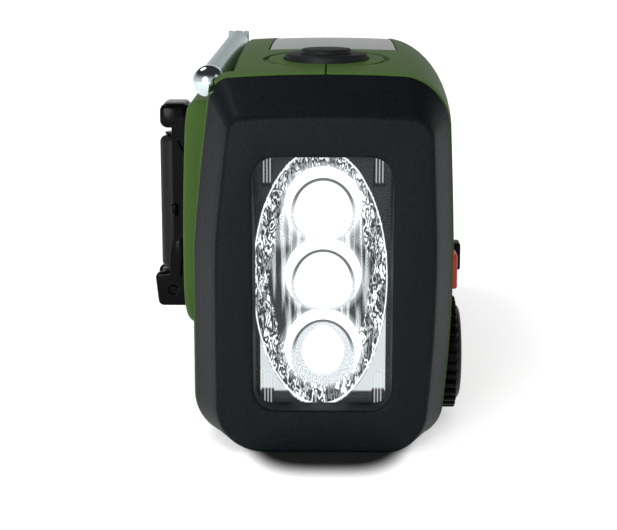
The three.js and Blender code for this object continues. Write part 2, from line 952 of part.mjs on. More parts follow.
function antennaBase() {
  const footBottom = grooveFloor + gap;
  const footTop = footBottom + antennaFootHeight;
  const ear = (side) => {
    const x0 = -antennaSide + (side > 0 ? antennaEarInner : -antennaEarOuter);
    const x1 = x0 + antennaEarThickness;
    const lower = block(
      x0, x1, yHinge - antennaEarRound, yHinge + antennaEarRound, footBottom, antennaHeight
    );
    return joined(lower, rodX(antennaEarRound, x0, x1, yHinge, antennaHeight, 20));
  };
  const foot = rodZ(antennaFootRadius, footBottom, footTop, -antennaSide, yHinge, 24);
  const post = rodZ(
    antennaPostRadius, grooveFloor - antennaPostLength, footTop, -antennaSide, yHinge, 16
  );
  const pinHole = rodX(antennaPinRadius + gap, -bodyLength, 0, yHinge, antennaHeight, 12);
  const clear = rodX(
    antennaEarRound + gap,
    -antennaSide - antennaEarInner,
    -antennaSide + antennaEarInner,
    yHinge,
    antennaHeight,
    20,
  );
  return joined(foot, post, ear(1), ear(-1)).subtract(pinHole).subtract(clear);
}

function antennaPin() {
  return rodX(
    antennaPinRadius,
    -antennaSide - antennaEarOuter,
    antennaEarOuter - antennaSide,
    yHinge,
    antennaHeight,
    12,
  );
}

function antennaTube() {
  const bar = rodY(antennaTubeRadius, yTubeFront, yTubeBack, -antennaSide, antennaHeight, 20);
  const bore = rodY(
    innerTubeRadius + antennaTubeGap,
    yTubeFront - overrun,
    yTubeBack - overrun,
    -antennaSide,
    antennaHeight,
    16,
  );
  const knuckleRadius = antennaPinRadius + gap + antennaKnuckleWall;
  const x0 = -antennaSide - antennaKnuckleHalf;
  const x1 = antennaKnuckleHalf - antennaSide;
  const tongue = block(
    x0,
    x1,
    yTubeBack - overrun / 2,
    yHinge,
    antennaHeight - knuckleRadius,
    antennaHeight + knuckleRadius,
  );
  const knuckle = rodX(knuckleRadius, x0, x1, yHinge, antennaHeight, 16);
  const pinHole = rodX(antennaPinRadius + gap, x0 - overrun, x1 + overrun, yHinge, antennaHeight, 12);
  return cut(joined(bar, tongue, knuckle), bore, pinHole);
}

function antennaInnerTube() {
  const bar = rodY(
    innerTubeRadius, yTubeFront, yTubeBack - overrun - gap, -antennaSide, antennaHeight, 16
  );
  const bore = rodY(
    rodRadius + antennaTubeGap,
    yTubeFront - overrun,
    yTubeBack - overrun - overrun,
    -antennaSide,
    antennaHeight,
    16,
  );
  return bar.subtract(bore);
}

function antennaRod() {
  return rodY(
    rodRadius, yTubeFront, yTubeBack - overrun - overrun - gap, -antennaSide, antennaHeight, 12
  );
}

const tipDomeShares = [0.25, 0.5, 0.75];

function antennaTip() {
  const y = yTubeFront - gap;
  const shoulder = y - antennaTipLength * tipShoulderShare;
  const profile = [[0, y - antennaTipLength]];
  for (const angleShare of tipDomeShares) {
    const angle = (angleShare * Math.PI) / 2;
    const dome = antennaTipLength * (1 - tipShoulderShare);
    profile.push([antennaTipRadius * Math.sin(angle), shoulder - dome * Math.cos(angle)]);
  }
  profile.push([antennaTipRadius, shoulder], [antennaTipRadius, y], [0, y]);
  return latheY(profile, -antennaSide, antennaHeight, 24);
}

const tipShoulderShare = 0.35;

// Crank: two rails between a hub lug at the top and a fork at the bottom.
const armInner = padFace + runningGap;

// A lug of the crank arm with its two outer edges rounded.
function crankLug(reach, bottom, top, round) {
  const shape = new THREE.Shape();
  shape.moveTo(-armInner, bottom);
  shape.lineTo(-armInner, top);
  shape.lineTo(round - reach, top);
  shape.absarc(round - reach, top - round, round, Math.PI / 2, Math.PI);
  shape.lineTo(-reach, bottom + round);
  shape.absarc(round - reach, bottom + round, round, Math.PI, 1.5 * Math.PI);
  const lug = new THREE.ExtrudeGeometry(
    shape, { depth: 2 * crankHalfWidth, bevelEnabled: false, curveSegments: 6 }
  );
  lug.rotateX(Math.PI / 2);
  lug.translate(0, yCrank + crankHalfWidth, 0);
  return solid(lug);
}

function crankArm() {
  const y0 = yCrank - crankHalfWidth;
  const y1 = yCrank + crankHalfWidth;
  const hubLug = crankLug(
    crankReach, crankHubHeight - hubLugHalfHeight, crankHubHeight + hubLugHalfHeight, hubLugRound
  );
  const fork = crankLug(forkReach, forkBottom, forkTop, forkRound);
  const slot = block(
    -forkReach - overrun,
    -armInner - forkWeb,
    yCrank - forkSlotHalf,
    yCrank + forkSlotHalf,
    forkBottom - overrun,
    forkTop + overrun,
  );
  const rail = (y) => {
    const shape = new THREE.Shape();
    const inner = -armInner;
    const outer = -armInner - railDepth;
    shape.moveTo(inner, forkTop - overrun);
    shape.lineTo(inner, crankHubHeight);
    shape.lineTo(outer, crankHubHeight);
    shape.lineTo(outer, forkTop + railFinHeight);
    shape.quadraticCurveTo(
      outer - railFin,
      forkTop + railFinHeight * railKneeShare,
      outer - railFin,
      forkTop - overrun,
    );
    const bar = new THREE.ExtrudeGeometry(
      shape, { depth: railThickness, bevelEnabled: false, curveSegments: 5 }
    );
    bar.rotateX(Math.PI / 2);
    bar.translate(0, y + railThickness, 0);
    return solid(bar);
  };
  const shaftHole = rodX(
    crankShaftRadius + gap, -bodyLength, -armInner + overrun, yCrank, crankHubHeight, 16
  );
  const hubCap = rodX(
    hubScrewRadius + gap, -bodyLength, -crankReach + screwHeadHeight, yCrank, crankHubHeight, 16
  );
  const pinHole = rodY(forkPinRadius + gap, y0 - overrun, y1 + overrun, -gripSide, forkPivotHeight, 12);
  return cut(
    joined(hubLug, cut(fork, slot), rail(y0), rail(y1 - railThickness)), shaftHole, hubCap, pinHole
  );
}

function crankShaft() {
  return rodX(
    crankShaftRadius,
    -crankReach + screwHeadHeight + gap,
    -driveGearSide,
    yCrank,
    crankHubHeight,
    16,
  );
}

function hubScrew() {
  return rodX(hubScrewRadius, -crankReach, -crankReach + screwHeadHeight, yCrank, crankHubHeight, 16);
}

function forkPin() {
  return rodY(
    forkPinRadius, yCrank - crankHalfWidth, yCrank + crankHalfWidth, -gripSide, forkPivotHeight, 12
  );
}

// The grip's root turns on the fork pin, and its spindle carries the turning sleeve.
function gripRoot() {
  const rootHalf = forkSlotHalf - gap;
  const rootRadius = gripSide - armInner - forkWeb - gap;
  const eye = rodY(rootRadius, yCrank - rootHalf, yCrank + rootHalf, -gripSide, forkPivotHeight, 20);
  const neck = rodZ(rootRadius, forkPivotHeight, gripBottom - gap, -gripSide, yCrank, 16);
  const spindle = rodZ(spindleRadius, forkPivotHeight, gripTop + gap + gap, -gripSide, yCrank, 12);
  const head = rodZ(
    spindleHeadRadius, gripTop + gap, gripTop + gap + spindleRadius / 2, -gripSide, yCrank, 16
  );
  const pinHole = rodY(
    forkPinRadius + gap,
    yCrank - crankHalfWidth,
    yCrank + crankHalfWidth,
    -gripSide,
    forkPivotHeight,
    12,
  );
  return joined(eye, neck, spindle, head).subtract(pinHole);
}

function crankGrip() {
  const sleeve = rodZ(gripRadius, gripBottom, gripTop, -gripSide, yCrank, 28);
  return sleeve.subtract(rodZ(
    spindleRadius + gap, gripBottom - overrun, gripTop + overrun, -gripSide, yCrank, 16
  ));
}

// A spur gear about X, in mesh when its turn is set by the place of its neighbour.
function spurGear(teeth, x0, x1, y, z, turn) {
  const pitch = (gearModule * teeth) / 2;
  const shape = new THREE.Shape();
  const point = (radius, angle) => [radius * Math.cos(angle), radius * Math.sin(angle)];
  const root = pitch - gearModule * toothRootShare;
  const tip = pitch + gearModule * toothTipShare;
  for (let tooth = 0; tooth < teeth; tooth++) {
    const middle = turn + (2 * Math.PI * tooth) / teeth;
    const step = Math.PI / teeth;
    const corners = [
      point(root, middle - step * toothRootHalfShare),
      point(tip, middle - step * toothTipHalfShare),
      point(tip, middle + step * toothTipHalfShare),
      point(root, middle + step * toothRootHalfShare),
    ];
    corners.forEach(([a, b], k) => (tooth + k ? shape.lineTo(a, b) : shape.moveTo(a, b)));
  }
  const gear = new THREE.ExtrudeGeometry(shape, { depth: x1 - x0, bevelEnabled: false });
  gear.rotateY(Math.PI / 2);
  gear.rotateX(Math.PI / 2);
  gear.translate(x0, y, z);
  return solid(gear);
}

const toothRootShare = 1.15;
const toothTipShare = 0.8;
const toothRootHalfShare = 0.62;
const toothTipHalfShare = 0.26;

const toRadians = THREE.MathUtils.degToRad;
const idlerAngle = toRadians(idlerBearing);
const generatorAngle = toRadians(generatorBearing);
const idlerReach = (gearModule * (driveTeeth + idlerPinionTeeth)) / 2;
const generatorReach = (gearModule * (idlerWheelTeeth + generatorPinionTeeth)) / 2;
const yIdler = yCrank + idlerReach * Math.sin(idlerAngle);
const zIdler = crankHubHeight - idlerReach * Math.cos(idlerAngle);
const yGenerator = yIdler + generatorReach * Math.sin(generatorAngle);
const zGenerator = zIdler - generatorReach * Math.cos(generatorAngle);
const wheelSide = driveGearSide - gearSideClearance;
const gearPlateSide = wheelSide - gearWidth - gearSideClearance;
const plateY0 = yCrank + gearPostInset - gearPlateHalfLength;
const plateY1 = yCrank + gearPostInset + gearPlateHalfLength;
const gearPostPlaces = [plateY0 + gearPostInset, plateY1 - gearPostInset].flatMap((y) =>
  [gearPlateBottom + gearPostInset, gearPlateTop - gearPostInset].map((z) => [y, z]),
);

// The direction from one gear's centre to the next, as an angle in the gear's own plane.
function meshAngle(bearing) {
  return bearing - Math.PI / 2;
}

function driveGear() {
  const gear = spurGear(
    driveTeeth,
    -driveGearSide - gearWidth,
    -driveGearSide,
    yCrank,
    crankHubHeight,
    meshAngle(idlerAngle),
  );
  return gear.subtract(rodX(crankShaftRadius + gap, -bodyLength, 0, yCrank, crankHubHeight, 16));
}

// The idler's pinion and wheel are one moulding.
function idlerGear() {
  const pinionTurn = meshAngle(idlerAngle) + Math.PI + Math.PI / idlerPinionTeeth;
  const wheelTurn = meshAngle(generatorAngle);
  const pinion = spurGear(
    idlerPinionTeeth,
    -driveGearSide - gearWidth,
    -wheelSide + gearWidth / 2,
    yIdler,
    zIdler,
    pinionTurn,
  );
  const wheel = spurGear(idlerWheelTeeth, -wheelSide, -wheelSide + gearWidth, yIdler, zIdler, wheelTurn);
  return joined(pinion, wheel).subtract(rodX(idlerAxleRadius + gap, -bodyLength, 0, yIdler, zIdler, 12));
}

function idlerAxle() {
  return rodX(
    idlerAxleRadius,
    -driveGearSide - gearWidth - overrun,
    -gearPlateSide + gearPlateThickness,
    yIdler,
    zIdler,
    12,
  );
}

function generatorPinion() {
  const turn = meshAngle(generatorAngle) + Math.PI + Math.PI / generatorPinionTeeth;
  const pinion = spurGear(
    generatorPinionTeeth, -wheelSide, -wheelSide + gearWidth, yGenerator, zGenerator, turn
  );
  return pinion.subtract(rodX(generatorShaftRadius + gap, -bodyLength, 0, yGenerator, zGenerator, 12));
}

function generator() {
  const x0 = -gearPlateSide + gearPlateThickness;
  const can = rodX(generatorRadius, x0, x0 + generatorLength, yGenerator, zGenerator, 32);
  return can.subtract(rodX(
    generatorShaftRadius + gap, -wheelSide, x0 + generatorLength / 2, yGenerator, zGenerator, 12
  ));
}

function generatorShaft() {
  const x1 = -gearPlateSide + gearPlateThickness + generatorLength / 2 - gap;
  return rodX(generatorShaftRadius, -wheelSide, x1, yGenerator, zGenerator, 12);
}

function gearPlate() {
  const x0 = -gearPlateSide;
  const plate = block(x0, x0 + gearPlateThickness, plateY0, plateY1, gearPlateBottom, gearPlateTop);
  const holes = [
    rodX(idlerAxleRadius + gap, -bodyLength, 0, yIdler, zIdler, 12),
    rodX(generatorShaftRadius + gap, -bodyLength, 0, yGenerator, zGenerator, 12),
  ];
  return cut(plate, ...holes);
}

// Corners of one rib: the share of the pitch round the knob and the share of the rib's height
const knobRibCorners = [[0.15, 0], [0.25, 1], [0.6, 1], [0.7, 0]];

// A ribbed knob: a toothed outline, rounded over at its outer end, on a short hub.
function ribbedKnob(y) {
  const ribbed = (x, share) => {
    const points = [];
    for (let rib = 0; rib < knobRibs; rib++) {
      for (const [place, height] of knobRibCorners) {
        const radius = (knobRadius - knobRibDepth * (1 - height)) * share;
        const angle = (2 * Math.PI * (rib + place)) / knobRibs;
        points.push(new THREE.Vector2(radius * Math.cos(angle), radius * Math.sin(angle)));
      }
    }
    return { y: x, points };
  };
  const crown = knobCrownRound / knobRadius;
  const geometry = loftGeometry([
    ribbed(-knobOuterSide, 1 - crown),
    ribbed(-knobOuterSide + knobCrownRound, 1),
    ribbed(-knobInnerSide, 1),
  ]);
  geometry.rotateZ(Math.PI / 2);
  geometry.translate(0, y, knobHeight);
  return solid(geometry).subtract(rodX(
    knobShaftRadius + gap, 0, knobInnerSide + knobFloor, y, knobHeight, 16
  ));
}

// A rotary control behind a knob: its case on the main board and its shaft in the knob.
function rotaryControl(y) {
  const caseEnd = knobInnerSide - gap - knobFloor - gap;
  const box = block(
    boardSide + boardThickness,
    caseEnd,
    y - tunerHalf,
    y + tunerHalf,
    knobHeight - tunerHalf,
    knobHeight + tunerHalf,
  );
  return joined(
    box,
    rodX(knobShaftRadius, caseEnd - overrun, knobInnerSide + knobFloor - gap, y, knobHeight, 16),
  );
}

// A key that shows through the control side, with a flange behind the wall.
function keySolid(y, z, halfLength, halfHeight, reach) {
  const inside = bodyHalfWidth - shellWall - 2 * keyFlangeThickness;
  const cap = plateOnSide(inside, reach, y, z, halfLength, halfHeight);
  const flange = plateOnSide(
    inside - keyFlangeThickness, inside, y, z, halfLength + keyFlange, halfHeight + keyFlange
  );
  return joined(cap, flange);
}

// A small switch on the main board behind a key, leaving room for the key's travel.
function keySwitch(y, z, travel) {
  const end = bodyHalfWidth - shellWall - 3 * keyFlangeThickness - travel - gap;
  return plateOnSide(boardSide + boardThickness, end, y, z, keySwitchHalf, keySwitchHalf);
}

function displayWindow() {
  const x1 = displaySide;
  return plateOnSide(
    x1 - displayWindowThickness, x1, yDisplay, displayHeight, displayHalfLength, displayHalfHeight
  );
}

function displayModule() {
  const x1 = displaySide - displayWindowThickness - gap;
  return plateOnSide(
    x1 - displayModuleThickness, x1, yDisplay, displayHeight, displayHalfLength, displayHalfHeight
  );
}

function displayCarrier() {
  const x1 = displaySide - displayWindowThickness - gap - displayModuleThickness;
  const posts = [-1, 1].map((side) =>
    plateOnSide(
      boardSide + boardThickness,
      x1,
      yDisplay + side * (displayHalfLength - keySwitchHalf),
      displayHeight,
      keySwitchHalf,
      keySwitchHalf,
    ),
  );
  return joined(
    plateOnSide(
      x1 - boardThickness, x1, yDisplay, displayHeight, displayHalfLength, displayHalfHeight / 2
    ),
    ...posts,
  );
}

// Loudspeaker and its slotted grille
function speakerGrille() {
  const disc = rodX(grilleRadius, grilleSide - grilleThickness, grilleSide, ySpeaker, speakerHeight, 40);
  const pitch = (2 * (grilleRadius - grilleRim)) / grilleSlots;
  const slots = [];
  for (let k = 0; k < grilleSlots; k++) {
    const offset = (k - (grilleSlots - 1) / 2) * pitch;
    const half = Math.sqrt((grilleRadius - grilleRim) ** 2 - (Math.abs(offset) + grilleSlotWidth / 2) ** 2);
    slots.push(plateOnSide(
      magnetRadius, bodyLength, ySpeaker, speakerHeight + offset, half, grilleSlotWidth / 2
    ));
  }
  return cut(disc, ...slots);
}

function speaker() {
  const x1 = grilleSide - grilleThickness - gap;
  const basket = rodX(speakerRadius, x1 - speakerDepth, x1, ySpeaker, speakerHeight, 36);
  const magnet = rodX(
    magnetRadius,
    boardSide + boardThickness + gap,
    x1 - speakerDepth / 2,
    ySpeaker,
    speakerHeight,
    24,
  );
  return joined(basket, magnet);
}

// Circuit boards
const yMainBoard = yFront + boardLampEndInset;
const yPortBoard = yBack - portBoardFromTail;

function mainBoard() {
  const board = block(
    boardSide, boardSide + boardThickness, yMainBoard, yPortBoard - gap, boardBottom, boardTop
  );
  return cut(board, ...screwPlaces.map(([y, z]) => rodX(bossRadius + gap, 0, bodyHalfWidth, y, z)));
}

function portBoard() {
  return block(
    -portBoardHalfWidth,
    portBoardHalfWidth,
    yPortBoard,
    yPortBoard + boardThickness,
    portHeight - portBoardHalfHeight,
    portHeight + portBoardHalfHeight,
  );
}

// Sockets open towards the tail.
const yFlap = yBack - flapThickness - gap;
const ySocketEnd = yFlap - gap;

function socket(x, halfWidth, halfHeight) {
  const y0 = yPortBoard + boardThickness;
  const shell = block(
    x - halfWidth, x + halfWidth, y0, ySocketEnd, portHeight - halfHeight, portHeight + halfHeight
  );
  const bore = block(
    x - halfWidth + portWallThickness,
    x + halfWidth - portWallThickness,
    y0 + portWallThickness + portWallThickness,
    ySocketEnd + overrun,
    portHeight - halfHeight + portWallThickness,
    portHeight + halfHeight - portWallThickness,
  );
  return shell.subtract(bore);
}

function portFlap() {
  const round = flapThickness / 2;
  const zPivot = portHeight - flapHalfHeight + round;
  const leaf = block(
    -flapHalfWidth,
    flapHalfWidth,
    yBack - flapThickness,
    yBack,
    zPivot,
    portHeight + flapHalfHeight,
  );
  return joined(leaf, rodX(round, -flapHalfWidth, flapHalfWidth, yBack - round, zPivot, 20));
}

function tailCap() {
  const { walls, cavity } = hollowCap(-1);
  const x = flapHalfWidth + gap;
  const z = flapHalfHeight + gap;
  const recess = block(-x, x, yFlap, yBack + overrun, portHeight - z, portHeight + z);
  const ports = [
    [-portSpacing / 2, usbHalfWidth, usbHalfHeight],
    [portSpacing - portSpacing / 4, chargeHalfWidth, chargeHalfHeight],
  ].map(([px, w, h]) =>
    block(
      px - w - gap,
      px + w + gap,
      yShellBack,
      yBack + overrun,
      portHeight - h - gap,
      portHeight + h + gap,
    ),
  );
  return cut(walls, cavity, recess, ...ports);
}

function battery() {
  const y0 = yBack - batteryFromTail - batteryLength;
  return rodY(
    batteryRadius,
    y0,
    y0 + batteryLength,
    -batterySide,
    bodyClearance + shellWall + gap + batteryRadius,
    28,
  );
}

// The assembly
const radio = new THREE.Group();

function add(name, body, color, roughness = 0.6, metalness = 0) {
  const material = new THREE.MeshStandardMaterial({ color, roughness, metalness });
  const mesh = new THREE.Mesh(geometryOf(body), material);
  mesh.name = name;
  radio.add(mesh);
}

const green = 0x4e6a38;
const black = 0x20262a;
const steel = 0xa9b4b4;
const brightMetal = 0xd8dde0;
const boardGreen = 0x1f5a3a;
const dark = 0x101214;
const red = 0xc23a34;
const pale = 0xe8e6da;

add("front_shell", frontShell(), green);
add("rear_shell", rearShell(), green);
screwPlaces.forEach((place, k) => add("shell_screw_" + (k + 1), shellScrew(place), steel, 0.35, 1));
add("base_pad", basePadSolid(0), dark, 0.9);
add("lamp_bezel", lampBezel(), black);
add("lamp_lens", lampLens(), 0xf4f8fa, 0.05);
add("lamp_reflector", lampReflector(), brightMetal, 0.1, 1);
bowlHeights.forEach((z, k) => add("lamp_bulb_" + (k + 1), bulb(z), 0xffffff, 0.3));
add("lamp_board", lampBoard(), boardGreen);
add("lamp_button", lampButton(), dark, 0.8);
add("lamp_switch", lampSwitch(), black);
add("top_board", topBoard(), boardGreen);
add("solar_panel", solarPanel(), 0x9a9a96, 0.3);
add("antenna_base", antennaBase(), steel, 0.35, 1);
add("antenna_pin", antennaPin(), steel, 0.35, 1);
add("antenna_tube", antennaTube(), steel, 0.35, 1);
add("antenna_inner_tube", antennaInnerTube(), steel, 0.35, 1);
add("antenna_rod", antennaRod(), steel, 0.35, 1);
add("antenna_tip", antennaTip(), brightMetal, 0.1, 1);
add("crank_arm", crankArm(), dark, 0.35);
add("crank_shaft", crankShaft(), steel, 0.35, 1);
add("hub_screw", hubScrew(), steel, 0.35, 1);
add("fork_pin", forkPin(), steel, 0.35, 1);
add("grip_root", gripRoot(), dark, 0.35);
add("crank_grip", crankGrip(), dark, 0.7);
add("drive_gear", driveGear(), pale);
add("idler_gear", idlerGear(), pale);
add("idler_axle", idlerAxle(), steel, 0.35, 1);
add("generator_pinion", generatorPinion(), 0xb08d4a, 0.4, 1);
add("generator", generator(), steel, 0.35, 1);
add("generator_shaft", generatorShaft(), steel, 0.35, 1);
add("gear_plate", gearPlate(), pale);
add("tuning_knob", ribbedKnob(knobPlaces[0]), dark, 0.6);
add("tuner", rotaryControl(knobPlaces[0]), steel, 0.4, 1);
add("volume_knob", ribbedKnob(knobPlaces[1]), dark, 0.6);
add("volume_control", rotaryControl(knobPlaces[1]), steel, 0.4, 1);
add("alarm_button", keySolid(yAlarm, alarmHeight, alarmHalfLength, alarmHalfHeight, alarmReach), red);
add("alarm_switch", keySwitch(yAlarm, alarmHeight, alarmTravel), black);
add("band_slider", keySolid(yBand, bandHeight, bandHalfLength, bandHalfHeight, bandReach), dark);
add("band_switch", keySwitch(yBand, bandHeight, 0), steel, 0.4, 1);
add("display_window", displayWindow(), 0xdfe6ea, 0.05);
add("display_module", displayModule(), 0x2b332e, 0.4);
add("display_carrier", displayCarrier(), pale);
add("speaker_grille", speakerGrille(), dark);
add("speaker", speaker(), dark, 0.5);
add("main_board", mainBoard(), boardGreen);
add("port_board", portBoard(), boardGreen);
add("usb_socket", socket(-portSpacing / 2, usbHalfWidth, usbHalfHeight), steel, 0.35, 1);
add(
  "charge_socket",
  socket(portSpacing - portSpacing / 4, chargeHalfWidth, chargeHalfHeight),
  steel,
  0.35,
  1,
);
add("tail_cap", tailCap(), black);
add("port_flap", portFlap(), dark, 0.8);
add("battery", battery(), 0x3b5f8a, 0.4);

export default radio;
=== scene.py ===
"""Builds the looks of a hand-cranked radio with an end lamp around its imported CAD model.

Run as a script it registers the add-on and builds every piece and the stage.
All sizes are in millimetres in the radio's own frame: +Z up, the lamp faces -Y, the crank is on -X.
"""

import math

import bmesh
import bpy
from bpy.props import FloatProperty, FloatVectorProperty, IntProperty, PointerProperty
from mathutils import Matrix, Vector


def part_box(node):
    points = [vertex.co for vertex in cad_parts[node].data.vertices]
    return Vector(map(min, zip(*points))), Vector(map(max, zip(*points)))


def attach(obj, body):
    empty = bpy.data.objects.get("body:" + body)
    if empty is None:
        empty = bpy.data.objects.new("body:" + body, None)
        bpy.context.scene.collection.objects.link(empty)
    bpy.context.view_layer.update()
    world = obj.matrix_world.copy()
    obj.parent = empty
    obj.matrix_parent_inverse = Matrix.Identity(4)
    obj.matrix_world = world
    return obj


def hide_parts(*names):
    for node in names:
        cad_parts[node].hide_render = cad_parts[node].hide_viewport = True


bl_info = {
    "name": "Hand-Cranked Radio",
    "version": (1, 0, 0),
    "blender": (4, 5, 0),
    "location": "View3D > Sidebar > Radio",
    "description": "Builds the detailed pieces of a hand-cranked radio with an end lamp",
    "category": "Add Mesh",
}

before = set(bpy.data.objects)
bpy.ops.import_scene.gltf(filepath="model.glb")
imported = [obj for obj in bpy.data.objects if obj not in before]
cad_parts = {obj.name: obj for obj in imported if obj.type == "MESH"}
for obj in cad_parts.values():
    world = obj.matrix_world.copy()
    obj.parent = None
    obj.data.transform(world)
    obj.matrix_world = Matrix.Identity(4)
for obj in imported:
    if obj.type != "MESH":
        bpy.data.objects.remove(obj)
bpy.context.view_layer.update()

MM = 0.001
# Room between pieces, how far inner walls stay under the surface, and a length past every piece
GAP = 0.3
FLUSH = 0.02
FAR = 400.0
# How far a piece that is joined to another or cuts it reaches past its surface
OVERLAP = 2.0
SHORT_OVERLAP = 1.0
# From the crest down to where the cuts in the top start
TOP_DEPTH = 15.0
# From the middle out to where the cuts in the control side start
SIDE_DEPTH = 10.0
SCREW_HEAD_HEIGHT = 2.2
# A radius below this is a point on the axis
POINT = 1e-9
SMOOTH_ANGLE = math.radians(32)


# Sizes


def length(default, description):
    """A length in millimetres that is labelled by its own name when it is registered"""
    return FloatProperty(default=default, description=description, soft_min=0.0)


class BodySizes(bpy.types.PropertyGroup):
    """The barrel body with its arched top"""

    length: length(165.0, "From the lamp face to the tail face")
    crest: length(81.4, "Height of the arch at its highest")
    crest_from_face: length(59.0, "From the lamp face to the highest place")
    arch: length(588.0, "Radius of the arched top along the body")
    half_width: length(29.4, "At the middle of the body")
    crank_bulge: length(1.35, "How much the crank side narrows to the ends")
    control_bulge: length(2.7, "How much the control side narrows to the ends")
    crown: length(1.0, "How much the top falls to its sides")
    crank_lean: length(4.1, "How far the crank side leans in at the top")
    top_lean: length(1.5, "How far the control side leans in at the top")
    low_lean: length(2.6, "How far the control side leans in at the bottom")
    lean_start: length(42.0, "Height that the sides lean in from")
    lean_power: length(1.2, "How the lean gathers towards the top")
    crank_corner: length(4.6, "Corner radius at the top of the crank side")
    control_corner: length(9.4, "Corner radius at the top of the control side")
    corner_growth: length(3.8, "How much that corner grows to the middle")
    low_crank_corner: length(10.0, "Corner radius at the bottom")
    low_control_corner: length(7.0, "Corner radius at the bottom")
    least_corner: length(0.8, "Smallest corner radius")
    wall: length(2.2, "Wall of the shells")
    clearance: length(0.1, "From the ground to the body")
    seam: length(0.3, "Gap between the two shells")


class CapSizes(bpy.types.PropertyGroup):
    """The lamp bezel and the tail cap"""

    depth: length(11.0, "From the face to the joint with the shells")
    skirt_depth: length(2.4, "How far the skirt reaches into the body")
    skirt_wall: length(1.6, "Wall of the skirt")
    edge_round: length(0.8, "Rounding of the face's edge")
    inset_crank: length(5.7, "How far the face is inside the body there")
    inset_control: length(4.4, "How far the face is inside the body there")
    inset_top: length(7.7, "How far the face is below the body's top")
    inset_bottom: length(0.0, "How far the face is above the body's bottom")
    face_crank_corner: length(3.0, "Corner radius of the face")
    face_control_corner: length(4.4, "Corner radius of the face")
    face_low_crank: length(9.8, "Corner radius of the face")
    face_low_control: length(8.2, "Corner radius of the face")


class LampSizes(bpy.types.PropertyGroup):
    """The window, the reflector and the bulbs"""

    side: FloatProperty(default=-0.5, description="Place of the lamp across the body")
    half_width: length(14.0, "At the lens")
    bottom: length(9.9, "Height at the lens")
    top: length(62.6, "Height at the lens")
    corner: length(2.6, "Corner radius at the lens")
    flare: length(0.6, "How much wider the window is at the face")
    depth: length(5.0, "From the face to the lens")
    lens: length(1.6, "Thickness of the clear window")
    seat: length(1.4, "How far the lens reaches behind the bezel")
    collar: length(1.6, "Wall of the bezel's collar")
    front_round: length(1.6, "More corner radius at the tunnel's front")
    bowl_parallax: length(2.2, "How far down the glare sits in the bowls")
    peg_radius: length(1.05, "Clear pegs behind the lens")
    peg_length: length(6.2, "From the window's edge")
    peg_side: length(11.8, "From the window's middle")
    peg_sink: length(0.5, "From the lens to the pegs' axes")
    reflector_depth: length(13.0, "From its front to its back")
    oval_half_width: length(14.3, "Of the oval dish")
    oval_half_height: length(28.0, "Of the oval dish")
    oval_depth: length(5.0, "Of the oval dish")
    oval_shift: FloatProperty(default=-0.6, description="From the lamp's middle")
    bowl_radius: length(8.2, "Of the three bowls")
    bowl_pitch: length(15.6, "Between the bowls")
    bowl_depth: length(6.0, "How far the bowls are behind the oval")
    bulb_hole: length(2.8, "Radius of the holes for the bulbs")
    bulb_radius: length(2.4, "Radius of the bulbs")


class TopSizes(bpy.types.PropertyGroup):
    """The lamp button, its ring and the solar panel"""

    button_from_face: length(31.0, "From the lamp face")
    button_radius: length(9.1, "Of the skirt")
    disc_radius: length(5.2, "Of the raised disc")
    step: length(1.0, "Height of each step")
    flange: length(1.4, "How far the flange reaches under the shell")
    flange_thickness: length(1.2, "Thickness of the flange")
    stem_radius: length(3.0, "Of the stem over the switch")
    stem_length: length(3.0, "Of the stem over the switch")
    ring_radius: length(13.3, "Of the groove round the button")
    ring_width: length(1.2, "Of the groove round the button")
    ring_depth: length(0.7, "Of the groove round the button")
    solar_from_face: length(48.0, "From the lamp face")
    solar_from_tail: length(47.0, "From the tail face")
    solar_half_width: length(14.5, "Of the panel")
    solar_offset: length(1.5, "Towards the control side")
    solar_thickness: length(1.1, "Of the panel")
    solar_sink: length(0.2, "How far the panel is below the shell")


class AntennaSizes(bpy.types.PropertyGroup):
    """The telescopic antenna in its groove"""

    side: length(25.1, "From the middle to the antenna's axis")
    drop: length(4.8, "From the crest down to the antenna's axis")
    hinge_from_tail: length(30.0, "From the tail face")
    tip_from_face: length(18.0, "From the lamp face")
    tube_radius: length(2.7, "Of the outer tube")
    tube_wall: length(0.75, "Of every tube")
    tube_gap: length(0.3, "Between the tubes")
    knuckle_wall: length(1.1, "Round the hinge pin")
    tip_radius: length(3.45, "Of the tip")
    tip_length: length(5.0, "Of the tip")
    wall_side: length(19.4, "From the middle to the groove's wall")
    groove_clearance: length(1.2, "Under the tube")
    tail_rise: length(0.9, "How much higher the groove is at the tail")
    post_radius: length(2.0, "Of the swivel post")
    post_length: length(6.0, "Of the swivel post")
    boss_radius: length(4.6, "Round the swivel post")


